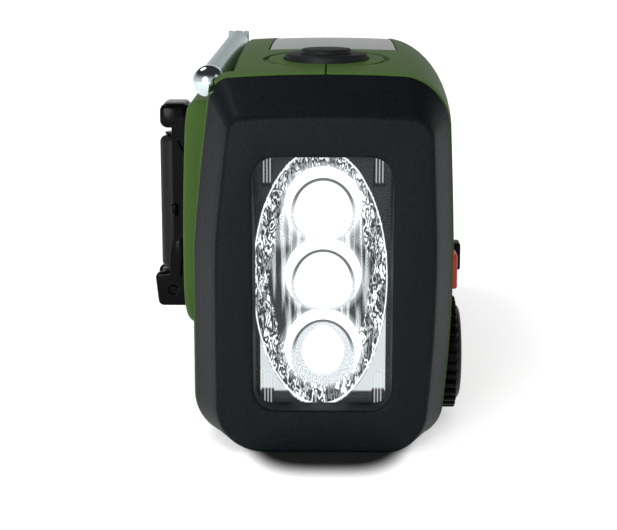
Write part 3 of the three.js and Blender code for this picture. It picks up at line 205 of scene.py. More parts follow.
class CrankSizes(bpy.types.PropertyGroup):
    """The raised pad, the crank and its grip"""

    pad_face: length(32.95, "From the middle to the pad's face")
    pad_bottom: length(16.4, "Height")
    pad_top: length(70.0, "Height")
    pad_half_length: length(28.0, "Along the body")
    pad_top_corner: length(6.0, "Corner radius")
    pad_low_corner: length(12.0, "Corner radius")
    pad_bow: length(0.9, "How far its face falls away from its fullest height")
    pad_fullest: length(33.0, "Height")
    pad_round: length(2.6, "Rounding of the pad's edge")
    from_face: length(65.0, "From the lamp face")
    hub_height: length(64.2, "Height of the crank's axis")
    shaft_radius: length(2.5, "Of the crank shaft")
    grip_side: length(37.3, "From the middle to the grip's axis")
    grip_radius: length(3.2, "Of the grip")
    grip_bottom: length(26.3, "Height")
    grip_top: length(58.9, "Height")
    spindle_radius: length(1.2, "Inside the grip")
    arm_side: length(33.35, "From the middle to the arm's back")
    arm_half_width: length(5.8, "Along the body")
    reach: length(40.0, "From the middle")
    lug_half_height: length(2.9, "About the crank's axis")
    lug_round: length(1.8, "Rounding of its outer edges")
    screw_radius: length(2.0, "Of its head")
    screw_height: length(2.2, "Of its head")
    fork_reach: length(41.7, "From the middle")
    fork_bottom: length(17.6, "Height")
    fork_top: length(25.9, "Height")
    fork_taper: length(0.6, "How far its outer face leans in at the bottom")
    fork_pivot: length(21.6, "Height of the folding grip's axis")
    fork_slot: length(3.6, "Half width of the slot")
    fork_web: length(0.6, "Behind the slot")
    pin_radius: length(1.0, "Of the folding grip's pin")
    rail: length(1.5, "Of the arm's two rails")
    rail_depth: length(3.85, "Outwards from the arm's back")
    rail_flare: length(1.1, "How far the rails widen at the fork")
    flare_height: length(8.0, "Above the fork")


class ControlSizes(bpy.types.PropertyGroup):
    """Knobs, keys, display and loudspeaker on the control side"""

    knob_from_end: length(28.0, "From the nearest end")
    knob_height: length(14.9, "Height of the knobs' axes")
    knob_radius: length(12.6, "Outside the ribs")
    rib_depth: length(1.3, "Of the ribs")
    ribs: IntProperty(default=32, description="Ribs round each knob", min=3)
    knob_inner: length(24.6, "From the middle")
    knob_outer: length(30.1, "From the middle")
    knob_round: length(2.4, "Rounding of the knob's face")
    recess_wall: length(1.2, "Wall of the knob's recess")
    knob_floor: length(1.6, "Floor of the knob")
    shaft_radius: length(3.0, "Of the shaft in the knob")
    alarm_from_face: length(46.5, "From the lamp face")
    alarm_height: length(29.8, "Height")
    alarm_half_length: length(3.5, "Along the body")
    alarm_half_height: length(4.1, "Up and down")
    alarm_reach: length(30.7, "From the middle")
    band_from_face: length(56.0, "From the lamp face")
    band_height: length(31.3, "Height")
    band_half_length: length(3.0, "Along the body")
    band_half_height: length(3.2, "Up and down")
    band_reach: length(32.1, "From the middle")
    band_travel: length(5.0, "Towards the tail")
    key_flange: length(1.2, "Behind the shell")
    display_from_face: length(37.0, "From the lamp face")
    display_half_length: length(23.0, "Along the body")
    display_height: length(58.0, "Height of its middle")
    display_half_height: length(10.5, "Up and down")
    side: length(27.6, "From the middle to the display and the grille")
    speaker_from_tail: length(54.0, "From the tail face")
    speaker_height: length(43.0, "Height of its middle")
    grille_radius: length(20.0, "Of the loudspeaker grille")
    grille_thickness: length(2.0, "Of the loudspeaker grille")
    slots: IntProperty(default=9, description="Slots in the grille", min=1)
    slot_width: length(1.8, "Of each slot")
    rim: length(2.4, "Round the slots")
    port_height: length(40.0, "Height of the port flap's middle")
    flap_half_width: length(15.0, "Across the tail")
    flap_half_height: length(9.0, "Up and down")
    flap_thickness: length(2.2, "Of the port flap")


class ShotSettings(bpy.types.PropertyGroup):
    """The camera of the product shot"""

    place: FloatVectorProperty(default=(1.4, -413.5, 113.0), description="In millimetres")
    tilt: FloatProperty(default=12.3, description="Degrees below level")
    yaw: FloatProperty(default=0.84, description="Degrees to the left")
    focal: FloatProperty(default=95.7, description="In millimetres")
    sensor: FloatProperty(default=36.0, description="In millimetres")


SIZE_GROUPS = {
    "radio_body": BodySizes,
    "radio_cap": CapSizes,
    "radio_lamp": LampSizes,
    "radio_top": TopSizes,
    "radio_antenna": AntennaSizes,
    "radio_crank": CrankSizes,
    "radio_control": ControlSizes,
    "radio_shot": ShotSettings,
}


class Sizes:
    """Every size group of a scene, and the places that follow from them"""

    def __init__(self, scene):
        for name in SIZE_GROUPS:
            setattr(self, name.removeprefix("radio_"), getattr(scene, name))
        self.front = -self.body.length / 2
        self.back = self.body.length / 2
        self.joint_front = self.front + self.cap.depth + GAP / 2
        self.joint_back = self.back - self.cap.depth - GAP / 2
        self.antenna_height = self.body.crest - self.antenna.drop
        self.groove_floor = (
            self.antenna_height - self.antenna.tube_radius - self.antenna.groove_clearance
        )
        self.groove_front = self.joint_front + self.cap.skirt_depth + GAP + self.body.wall
        self.groove_back = -self.groove_front
        self.hinge = self.back - self.antenna.hinge_from_tail
        self.lens_front = self.front + self.lamp.depth
        self.lens_back = self.lens_front + self.lamp.lens
        self.reflector = self.lens_back + GAP
        self.lamp_middle = (self.lamp.bottom + self.lamp.top) / 2
        self.button = self.front + self.top.button_from_face
        self.crank_place = self.front + self.crank.from_face
        self.knobs = (
            self.front + self.control.knob_from_end,
            self.back - self.control.knob_from_end,
        )
        self.inner_radius = (
            self.antenna.tube_radius - self.antenna.tube_wall - self.antenna.tube_gap
        )
        self.rod_radius = self.inner_radius - self.antenna.tube_wall - self.antenna.tube_gap


# Outlines of the body and the caps


def quarter(steps, which=0, first=0):
    """Cosine and sine of even angles over one quarter of a turn"""
    angles = [math.pi / 2 * (which + step / steps) for step in range(first, steps + 1)]
    return [(math.cos(angle), math.sin(angle)) for angle in angles]


def rounded_outline(left, right, bottom, top, corners, corner_steps=12, edge_steps=10):
    """A rounded rectangle of (x, z) points, anticlockwise as seen from the lamp end"""
    centres = (
        (right - corners[0], top - corners[0]),
        (left + corners[1], top - corners[1]),
        (left + corners[2], bottom + corners[2]),
        (right - corners[3], bottom + corners[3]),
    )
    arcs = [
        [(x + radius * c, z + radius * s) for c, s in quarter(corner_steps, index)]
        for index, ((x, z), radius) in enumerate(zip(centres, corners))
    ]
    points = []
    for index, arc in enumerate(arcs):
        points += arc
        start, end = arc[-1], arcs[(index + 1) % len(arcs)][0]
        for step in range(1, edge_steps):
            share = step / edge_steps
            points.append(tuple(a + (b - a) * share for a, b in zip(start, end)))
    return points


def body_top(sizes, y):
    crest = sizes.front + sizes.body.crest_from_face
    return sizes.body.crest - (y - crest) ** 2 / (2 * sizes.body.arch)


def body_sides(sizes, y):
    share = (2 * y / sizes.body.length) ** 2
    crank = sizes.body.half_width - sizes.body.crank_bulge * share
    control = sizes.body.half_width - sizes.body.control_bulge * share
    return crank, control


def shaped(sizes, points, top):
    """Leans the sides in and crowns the top of an outline"""
    body = sizes.body
    left = min(x for x, z in points)
    right = max(x for x, z in points)
    result = []
    for x, z in points:
        side = x / left if x < 0 else x / right
        rise = max(0.0, (z - body.lean_start) / (top - body.lean_start))
        fall = max(0.0, (body.lean_start - z) / body.lean_start)
        lift = rise**body.lean_power
        control = body.top_lean * lift + body.low_lean * fall**2
        lean = body.crank_lean * lift if x < 0 else -control
        result.append((x + lean * side, z - body.crown * rise * side**2))
    return result


def cap_ring(sizes, y, sized_at, share, inset=0.0, corner_steps=12, edge_steps=10):
    """An outline between the body's (share 0) and an end face's (share 1)"""
    body, cap = sizes.body, sizes.cap
    crank, control = body_sides(sizes, sized_at)
    top = body_top(sizes, sized_at)
    fullness = 1 - (2 * sized_at / body.length) ** 2
    pairs = (
        (body.control_corner + body.corner_growth * fullness, cap.face_control_corner),
        (body.crank_corner, cap.face_crank_corner),
        (body.low_crank_corner, cap.face_low_crank),
        (body.low_control_corner, cap.face_low_control),
    )
    corners = [max(body.least_corner, a + (b - a) * share - inset) for a, b in pairs]
    points = rounded_outline(
        inset - crank + cap.inset_crank * share,
        control - inset - cap.inset_control * share,
        body.clearance + inset + cap.inset_bottom * share,
        top - inset - cap.inset_top * share,
        corners,
        corner_steps,
        edge_steps,
    )
    return y, shaped(sizes, points, top)


def body_ring(sizes, y, inset=0.0):
    return cap_ring(sizes, y, y, 0.0, inset)


def window_ring(sizes, y, margin=0.0, rounder=0.0):
    """The lamp window's outline at one place along the tunnel"""
    lamp = sizes.lamp
    flare = max(0.0, lamp.flare * (sizes.lens_front - y) / lamp.depth) + margin
    points = rounded_outline(
        lamp.side - lamp.half_width - flare,
        lamp.side + lamp.half_width + flare,
        lamp.bottom - flare,
        lamp.top + flare,
        (lamp.corner + flare + rounder,) * 4,
        corner_steps=10,
        edge_steps=4,
    )
    return y, points


# Meshes


def in_mm(corners):
    """A box's two corners in millimetres"""
    return [[value / MM for value in corner] for corner in corners]


def linked(name, data):
    """A new object in the scene"""
    made = bpy.data.objects.new(name, data)
    bpy.context.scene.collection.objects.link(made)
    return made


def mesh_object(name, vertices, faces, material=None):
    """A mesh object from vertices in millimetres"""
    mesh = bpy.data.meshes.new(name)
    mesh.from_pydata([(x * MM, y * MM, z * MM) for x, y, z in vertices], [], faces)
    mesh.update()
    if material is not None:
        mesh.materials.append(material)
    return linked(name, mesh)


def grid_object(name, grid, materials):
    """A mesh object from a bmesh that isn't needed any more"""
    mesh = bpy.data.meshes.new(name)
    grid.to_mesh(mesh)
    grid.free()
    for material in materials:
        mesh.materials.append(material)
    return linked(name, mesh)


def smooth(made, angle=SMOOTH_ANGLE):
    """Shades a piece smoothly, with sharp edges above an angle"""
    for polygon in made.data.polygons:
        polygon.use_smooth = True
    made.data.set_sharp_from_angle(angle=angle)
    return made


def loft(name, rings, material=None):
    """A closed solid through outlines stacked along Y, from the lamp end to the tail"""
    count = len(rings[0][1])
    vertices = [(x, y, z) for y, points in rings for x, z in points]
    faces = []
    for k in range(len(rings) - 1):
        for i in range(count):
            near, following = k * count + i, k * count + (i + 1) % count
            faces.append((near, near + count, following + count, following))
    last = (len(rings) - 1) * count
    faces.append(tuple(range(count)))
    faces.append(tuple(last + i for i in reversed(range(count))))
    return mesh_object(name, vertices, faces, material)


def turned(name, profile, place, axis="Z", sides=64, material=None):
    """A solid of revolution from (radius, along) points, along the axis through the place"""
    vertices, faces = [], []
    rows = []
    for radius, along in profile:
        if radius <= POINT:
            rows.append([len(vertices)])
            vertices.append((0.0, 0.0, along))
            continue
        rows.append(list(range(len(vertices), len(vertices) + sides)))
        for i in range(sides):
            angle = 2 * math.pi * i / sides
            vertices.append((radius * math.cos(angle), radius * math.sin(angle), along))
    for low, high in zip(rows, rows[1:]):
        for i in range(sides):
            j = (i + 1) % sides
            if len(low) == 1:
                faces.append((low[0], high[j], high[i]))
            elif len(high) == 1:
                faces.append((low[i], low[j], high[0]))
            else:
                faces.append((low[i], low[j], high[j], high[i]))
    if len(rows[0]) > 1:
        faces.append(tuple(reversed(rows[0])))
    if len(rows[-1]) > 1:
        faces.append(tuple(rows[-1]))
    x0, y0, z0 = place
    if axis == "X":
        vertices = [(x0 + c, y0 + a, z0 + b) for a, b, c in vertices]
    elif axis == "Y":
        vertices = [(x0 + b, y0 + c, z0 + a) for a, b, c in vertices]
    else:
        vertices = [(x0 + a, y0 + b, z0 + c) for a, b, c in vertices]
    return mesh_object(name, vertices, faces, material)


def rod(name, radius, start, end, place, axis="Z", sides=64):
    """A plain cylinder along an axis"""
    return turned(name, [(radius, start), (radius, end)], place, axis, sides)


def rounded_edge(radius, height, edge, steps):
    """Profile points round the far edge of a turned piece"""
    return [(radius - edge + edge * c, height - edge + edge * s) for c, s in quarter(steps)]


def rounded_rod(radius, start, end, edge, steps=5):
    """A profile for a bar with rounded ends"""
    near = [(radius - edge + edge * s, start + edge - edge * c) for c, s in quarter(steps)]
    return [(0.0, start), *near, *rounded_edge(radius, end, edge, steps), (0.0, end)]


def round_ended(radius, start, end, steps):
    """A profile for a bar with ends that are all but half balls"""
    flat = 0.05
    return rounded_rod(radius, start, end, radius - flat, steps)


def box(name, low, high, edge=0.0, material=None, segments=3):
    """A box between two corners, with rounded edges"""
    grid = bmesh.new()
    bmesh.ops.create_cube(grid, size=1.0)
    for vertex in grid.verts:
        vertex.co = [
            (low[k] + high[k]) / 2 + vertex.co[k] * (high[k] - low[k]) for k in range(3)
        ]
    if edge:
        bmesh.ops.bevel(
            grid, geom=grid.edges[:], offset=edge, segments=segments, profile=0.5, affect="EDGES"
        )
    for vertex in grid.verts:
        vertex.co = vertex.co * MM
    return grid_object(name, grid, [] if material is None else [material])


def settle(made):
    """Replaces a piece's mesh by its evaluated one and drops its modifiers"""
    graph = bpy.context.evaluated_depsgraph_get()
    mesh = bpy.data.meshes.new_from_object(made.evaluated_get(graph))
    old = made.data
    made.modifiers.clear()
    made.data = mesh
    name = old.name
    bpy.data.meshes.remove(old)
    mesh.name = name
    return made

def bevelled(made, width, sharper):
    """Rounds the edges of a piece that turn by more than an angle in degrees"""
    bevel = made.modifiers.new("edge", "BEVEL")
    bevel.width = width * MM
    bevel.segments = 3
    bevel.limit_method = "ANGLE"
    bevel.angle_limit = math.radians(sharper)
    return settle(made)



def combine(made, steps):
    """Joins, cuts or intersects a piece with others in order and drops the others"""
    for operation, other in steps:
        modifier = made.modifiers.new(operation.lower(), "BOOLEAN")
        modifier.operation = operation
        modifier.object = other
        modifier.solver = "MANIFOLD"
    settle(made)
    for _, other in steps:
        mesh = other.data
        bpy.data.objects.remove(other)
        if mesh.users == 0:
            bpy.data.meshes.remove(mesh)
    return made

def cutting(*others):
    """The steps that cut a piece with others"""
    return [("DIFFERENCE", other) for other in others]



def painted(made, material):
    """Gives a whole piece one material"""
    made.data.materials.clear()
    made.data.materials.append(material)
    for polygon in made.data.polygons:
        polygon.material_index = 0
    return made


def copy_of(made, name):
    twin = made.copy()
    twin.data = made.data.copy()
    twin.name = name
    bpy.context.scene.collection.objects.link(twin)
    return twin


def sorted_faces(made, material, chosen):
    """Gives the faces that a test chooses a second material"""
    made.data.materials.append(material)
    for polygon in made.data.polygons:
        if chosen(polygon.center / MM, polygon.normal):
            polygon.material_index = len(made.data.materials) - 1
    return made


def socket_of(group, name):
    """The identifier of a node group's input"""
    for item in group.interface.items_tree:
        if item.item_type == "SOCKET" and item.in_out == "INPUT" and item.name == name:
            return item.identifier
    raise KeyError(name)


def array_group(name, ring):
    """Geometry Nodes: repeats the geometry round the X axis, or along Z"""
    group = bpy.data.node_groups.new(name, "GeometryNodeTree")
    face = group.interface
    kinds = {"Geometry": "Geometry", "Count": "Int", "Pitch": "Float", "Material": "Material"}
    for label, kind in kinds.items():
        face.new_socket(label, in_out="INPUT", socket_type="NodeSocket" + kind)
    face.new_socket("Geometry", in_out="OUTPUT", socket_type="NodeSocketGeometry")
    nodes, links = group.nodes, group.links
    given = nodes.new("NodeGroupInput")
    points = nodes.new("GeometryNodeMeshLine")
    points.mode = "OFFSET"
    repeat = nodes.new("GeometryNodeInstanceOnPoints")
    index = nodes.new("GeometryNodeInputIndex")
    times = nodes.new("ShaderNodeMath")
    times.operation = "MULTIPLY"
    vector = nodes.new("ShaderNodeCombineXYZ")
    real = nodes.new("GeometryNodeRealizeInstances")
    paint = nodes.new("GeometryNodeSetMaterial")
    result = nodes.new("NodeGroupOutput")
    links.new(given.outputs["Count"], points.inputs["Count"])
    links.new(points.outputs["Mesh"], repeat.inputs["Points"])
    links.new(given.outputs["Geometry"], repeat.inputs["Instance"])
    if ring:
        points.inputs["Offset"].default_value = (0.0, 0.0, 0.0)
        links.new(index.outputs["Index"], times.inputs[0])
        links.new(given.outputs["Pitch"], times.inputs[1])
        links.new(times.outputs["Value"], vector.inputs["X"])
        links.new(vector.outputs["Vector"], repeat.inputs["Rotation"])
    else:
        links.new(given.outputs["Pitch"], vector.inputs["Z"])
        links.new(vector.outputs["Vector"], points.inputs["Offset"])
    links.new(repeat.outputs["Instances"], real.inputs["Geometry"])
    links.new(real.outputs["Geometry"], paint.inputs["Geometry"])
    links.new(given.outputs["Material"], paint.inputs["Material"])
    links.new(paint.outputs["Geometry"], result.inputs["Geometry"])
    return group


def repeated(made, group, count, pitch, material):
    """Repeats a piece with a Geometry Nodes group and keeps the real mesh"""
    modifier = made.modifiers.new("repeat", "NODES")
    modifier.node_group = group
    modifier[socket_of(group, "Count")] = count
    modifier[socket_of(group, "Pitch")] = pitch
    modifier[socket_of(group, "Material")] = material
    return settle(made)


def joined(name, parts):
    """One object from several, keeping their materials"""
    grid = bmesh.new()
    materials = []
    for part in parts:
        start = len(grid.faces)
        grid.from_mesh(part.data)
        grid.faces.ensure_lookup_table()
        places = []
        for material in part.data.materials:
            if material not in materials:
                materials.append(material)
            places.append(materials.index(material))
        for face in grid.faces[start:]:
            face.material_index = places[face.material_index] if places else 0
    made = grid_object(name, grid, materials)
    for part in parts:
        old = part.data
        bpy.data.objects.remove(part)
        bpy.data.meshes.remove(old)
    return made


# Materials


def new_material(name, kind="ShaderNodeBsdfPrincipled"):
    """A material with one node of a kind on its surface"""
    material = bpy.data.materials.new(name)
    material.use_nodes = True
    tree = material.node_tree
    tree.nodes.clear()
    output = tree.nodes.new("ShaderNodeOutputMaterial")
    shader = tree.nodes.new(kind)
    tree.links.new(shader.outputs[0], output.inputs["Surface"])
    return material, tree, shader


def grain(tree, shader, color, shade=0.05, scale=2500.0, strength=0.25, depth=0.05, edge=0.35):
    """A fine bump and shade on object coordinates, with softly rounded edges"""
    nodes, links = tree.nodes, tree.links
    place = nodes.new("ShaderNodeTexCoord")
    noise = nodes.new("ShaderNodeTexNoise")
    noise.inputs["Scale"].default_value = scale
    noise.inputs["Detail"].default_value = 2.0
    links.new(place.outputs["Object"], noise.inputs["Vector"])
    bump = nodes.new("ShaderNodeBump")
    bump.inputs["Strength"].default_value = strength
    bump.inputs["Distance"].default_value = depth * MM
    links.new(noise.outputs["Fac"], bump.inputs["Height"])
    if edge:
        soft = nodes.new("ShaderNodeBevel")
        soft.samples = 4
        soft.inputs["Radius"].default_value = edge * MM
        links.new(soft.outputs["Normal"], bump.inputs["Normal"])
    links.new(bump.outputs["Normal"], shader.inputs["Normal"])
    ramp = nodes.new("ShaderNodeValToRGB")
    ends = ((0.3, 1 - shade), (0.7, 1 + shade))
    for stop, (position, level) in zip(ramp.color_ramp.elements, ends):
        stop.position = position
        stop.color = (*[value * level for value in color], 1.0)
    links.new(noise.outputs["Fac"], ramp.inputs["Fac"])
    links.new(ramp.outputs["Color"], shader.inputs["Base Color"])


def plastic(name, color, roughness=0.45, gloss=0.3, **texture):
    """Plastic or rubber with a fine grain"""
    material, tree, shader = new_material(name)
    shader.inputs["Roughness"].default_value = roughness
    shader.inputs["IOR"].default_value = 1.5
    shader.inputs["Specular IOR Level"].default_value = gloss
    grain(tree, shader, color, **texture)
    return material


def metal(name, color, roughness=0.25, metallic=1.0, scale=900.0, strength=0.04, edge=0.15):
    """Bare metal, or painted metal when it is less metallic"""
    material, tree, shader = new_material(name)
    shader.inputs["Roughness"].default_value = roughness
    shader.inputs["Metallic"].default_value = metallic
    grain(tree, shader, color, shade=0.04, scale=scale, strength=strength, depth=0.03, edge=edge)
    return material


def glowing(name, color, strength):
    material, tree, shader = new_material(name)
    shader.inputs["Base Color"].default_value = (*color, 1.0)
    shader.inputs["Roughness"].default_value = 0.2
    shader.inputs["Emission Color"].default_value = (*color, 1.0)
    shader.inputs["Emission Strength"].default_value = strength
    return material


def clear(name, tint=(0.97, 0.98, 0.98), reflecting=0.5):
    """Clear plastic that light passes straight through, with a weak sheen on its outer side"""
    material, tree, mix = new_material(name, "ShaderNodeMixShader")
    nodes, links = tree.nodes, tree.links
    through = nodes.new("ShaderNodeBsdfTransparent")
    through.inputs["Color"].default_value = (*tint, 1.0)
    sheen = nodes.new("ShaderNodeBsdfGlossy")
    sheen.inputs["Roughness"].default_value = 0.05
    sheen.inputs["Color"].default_value = (reflecting, reflecting, reflecting, 1.0)
    edge = nodes.new("ShaderNodeFresnel")
    edge.inputs["IOR"].default_value = 1.3
    side = nodes.new("ShaderNodeNewGeometry")
    outer = math_node(tree, "SUBTRACT", 1.0, side.outputs["Backfacing"])
    links.new(math_node(tree, "MULTIPLY", outer, edge.outputs["Fac"]), mix.inputs["Fac"])
    links.new(through.outputs["BSDF"], mix.inputs[1])
    links.new(sheen.outputs["BSDF"], mix.inputs[2])
    return material


def cells_of(name, cell, line, pitch, width):
    """A solar panel: dark cells with fine pale lines across them"""
    material, tree, shader = new_material(name)
    shader.inputs["Roughness"].default_value = 0.28
    shader.inputs["Specular IOR Level"].default_value = 0.3
    _, along, _ = object_axes(tree)
    part = math_node(tree, "FRACT", math_node(tree, "DIVIDE", along, pitch))
    mix = tree.nodes.new("ShaderNodeMix")
    mix.data_type = "RGBA"
    mix.inputs["A"].default_value = (*cell, 1.0)
    mix.inputs["B"].default_value = (*line, 1.0)
    tree.links.new(math_node(tree, "LESS_THAN", part, width), mix.inputs["Factor"])
    tree.links.new(mix.outputs["Result"], shader.inputs["Base Color"])
    return material


def math_node(tree, operation, *values):
    """A math node fed by sockets or plain numbers"""
    node = tree.nodes.new("ShaderNodeMath")
    node.operation = operation
    for slot, value in zip(node.inputs, values):
        if isinstance(value, (int, float)):
            slot.default_value = value
        else:
            tree.links.new(value, slot)
    return node.outputs["Value"]


def ramp_node(tree, value, low, high, start=0.0, end=1.0, smooth_step=True):
    """Maps a value from between low and high to between start and end"""
    node = tree.nodes.new("ShaderNodeMapRange")
    if smooth_step:
        node.interpolation_type = "SMOOTHSTEP"
    node.inputs["From Min"].default_value = low
    node.inputs["From Max"].default_value = high
    node.inputs["To Min"].default_value = start
    node.inputs["To Max"].default_value = end
    tree.links.new(value, node.inputs["Value"])
    return node.outputs["Result"]


def object_axes(tree):
    """Object coordinates as separate X, Y and Z in millimetres"""
    place = tree.nodes.new("ShaderNodeTexCoord")
    size = tree.nodes.new("ShaderNodeVectorMath")
    size.operation = "SCALE"
    size.inputs["Scale"].default_value = 1.0 / MM
    tree.links.new(place.outputs["Object"], size.inputs[0])
    parts = tree.nodes.new("ShaderNodeSeparateXYZ")
    tree.links.new(size.outputs["Vector"], parts.inputs["Vector"])
    return parts.outputs["X"], parts.outputs["Y"], parts.outputs["Z"]


def seen_rays(tree):
    """1 for rays from the camera, a mirror or clear plastic, and 0 for light that falls on things"""
    ray = tree.nodes.new("ShaderNodeLightPath")
    seen = math_node(tree, "MAXIMUM", ray.outputs["Is Camera Ray"], ray.outputs["Is Glossy Ray"])
    return math_node(tree, "MAXIMUM", seen, ray.outputs["Is Transmission Ray"])


# The middle of the painted contact shadow's foot outline across the floor, and how square that outline is
FOOT_MIDDLE = 0.5
FOOT_CORNER = 3.7
# From inside to outside the foot's outline, and the floor's share of light at each: a painted contact shadow
CONTACT_SHADE = (0.91, 1.05, 0.012, 1.0)


def studio_floor(name, seen, lighting, glow, half_width, half_length):
    """The white floor: one level for the camera, another in the light that it gives back, and a
    soft contact shadow painted round the radio's foot"""
    material, tree, both = new_material(name, "ShaderNodeAddShader")
    shader = tree.nodes.new("ShaderNodeBsdfDiffuse")
    lift = tree.nodes.new("ShaderNodeEmission")
    x, y, _ = object_axes(tree)
    # A painted contact shadow: the floor's colour and glow drop inside the foot's outline
    shares = []
    for place, middle, half in ((x, FOOT_MIDDLE, half_width), (y, 0.0, half_length)):
        share = math_node(tree, "DIVIDE", math_node(tree, "SUBTRACT", place, middle), half)
        shares.append(math_node(tree, "POWER", math_node(tree, "ABSOLUTE", share), FOOT_CORNER))
    reach = math_node(tree, "POWER", math_node(tree, "ADD", *shares), 1.0 / FOOT_CORNER)
    contact = ramp_node(tree, reach, *CONTACT_SHADE)
    rays = seen_rays(tree)
    level = ramp_node(tree, rays, 0.0, 1.0, lighting, seen, False)
    lifted = math_node(tree, "MULTIPLY", rays, math_node(tree, "MULTIPLY", contact, glow))
    tree.links.new(math_node(tree, "MULTIPLY", contact, level), shader.inputs["Color"])
    tree.links.new(lifted, lift.inputs["Strength"])
    tree.links.new(shader.outputs["BSDF"], both.inputs[0])
    tree.links.new(lift.outputs["Emission"], both.inputs[1])
    return material


class Glare:
    """The painted pattern of the bulbs' light and shade on the mirror, given as emission, with places in
    millimetres, and on the oval in shares

    Two numbers are where a part starts and is full; two more are the levels that it goes from and
    to. Three numbers are a line's start, end and blur. A scale is across, up, and how fine.
    """

    # Fine speckle in the painted reflections, and how much it dims the painted streaks and the bowls
    speckle_scale = (5.0, 5.0, 3.0)
    streak_speckle = (0.36, 0.6, 0.35, 1.2)
    bowl_speckle = (0.42, 0.54, 0.45, 1.1)
    # Long painted streaks of reflection, and a painted pale field from over the middle that fades to the top
    streak_scale = (0.95, 0.05)
    streaks = (0.46, 0.62, 0.045, 1.0)
    streak_share = 0.75
    pale_start = (5.0, 8.0, 0.0, 0.55)
    pale_top = (14.0, 22.0, 1.0, 0.4)
    # The broken-up border of painted glints: bent veins over random cells, from a ragged line outwards
    vein_scale = (0.75, 0.3, 3.0)
    vein_waves = 42.0
    veins = (-0.7, 0.9, 0.03, 1.1)
    cell_scale = (1.1, 0.35)
    cells = (0.15, 0.8, 0.25, 1.3)
    bend_scale = (0.9, 0.5)
    bend = 1.6
    ragged_scale = (0.3, 0.12)
    ragged = 0.25
    border_start = (0.85, 0.88)
    # The bowls' painted glare: a hot rim outside, an edge, a core that is smaller in the lowest, a
    # painted dark crescent of shade over it and a bright rim inside
    hot_rim = (-0.2, 1.4, 0.48, 0.0)
    bowl_edge = (-0.15, 0.05, 1.0, 0.0)
    core_radius = (-10.0, -5.0, 4.4, 6.0)
    core_edge = (-0.5, 0.5, 1.0, 0.0)
    core_level = 1.8
    crescent = (6.1, 6.9, 0.15)
    crescent_side = (-0.1, 0.5)
    crescent_level = 0.1
    inner_rim = (6.85, 7.0)
    inner_rim_level = 1.7
    # Outside the oval: its painted bright rim, corners with painted light at the bottom but for the window's
    # edge, and painted shade in dark strips at the sides
    oval_edge = (0.995, 1.005)
    oval_rim = (0.978, 0.994, 0.004)
    oval_rim_level = 1.3
    corners = (-10.0, -3.0, 0.8, 0.012)
    corner_foot = (1.6, 2.2, 0.02, 1.0)
    side_strip = (-0.75, -0.6)
    side_level = 0.008
    # The painted highlights along the clear pegs' outlines and axes, measured from their axes
    peg_edge = (0.55, 0.8, 0.1)
    peg_axis = (-0.1, 0.12, 0.08)
    peg_end = (0.0, 0.4)
    peg_share = 0.55


def over_face(tree, x, z, across, along):
    """A place on the lamp's face with its own scale across and along"""
    flat = tree.nodes.new("ShaderNodeCombineXYZ")
    tree.links.new(math_node(tree, "MULTIPLY", x, across), flat.inputs["X"])
    tree.links.new(math_node(tree, "MULTIPLY", z, along), flat.inputs["Z"])
    return flat.outputs["Vector"]


def stretched_noise(tree, x, z, across, along, detail=2.0):
    """Noise over the lamp's face, from about 0.3 to 0.7"""
    noise = tree.nodes.new("ShaderNodeTexNoise")
    noise.inputs["Scale"].default_value = 1.0
    noise.inputs["Detail"].default_value = detail
    tree.links.new(over_face(tree, x, z, across, along), noise.inputs["Vector"])
    return noise.outputs["Fac"]


def random_cells(tree, x, z, across, along):
    """A random level for each of many small bent cells over the lamp's face"""
    bend = stretched_noise(tree, x, z, *Glare.bend_scale)
    bent = math_node(tree, "MULTIPLY_ADD", bend, Glare.bend, x)
    cells = tree.nodes.new("ShaderNodeTexVoronoi")
    cells.inputs["Scale"].default_value = 1.0
    tree.links.new(over_face(tree, bent, z, across, along), cells.inputs["Vector"])
    parts = tree.nodes.new("ShaderNodeSeparateColor")
    tree.links.new(cells.outputs["Color"], parts.inputs["Color"])
    return parts.outputs["Red"]


def blend(tree, share, low, high):
    """low where the share is 0 and high where it is 1"""
    rest = math_node(tree, "SUBTRACT", high, low)
    return math_node(tree, "MULTIPLY_ADD", share, rest, low)


def within(tree, value, start, end, soft):
    """1 between start and end, with soft borders"""
    rise = ramp_node(tree, value, start - soft, start + soft)
    fall = ramp_node(tree, value, end - soft, end + soft, 1.0, 0.0)
    return math_node(tree, "MULTIPLY", rise, fall)


def distance_node(tree, across, along):
    squares = [math_node(tree, "POWER", value, 2.0) for value in (across, along)]
    return math_node(tree, "SQRT", math_node(tree, "ADD", *squares))


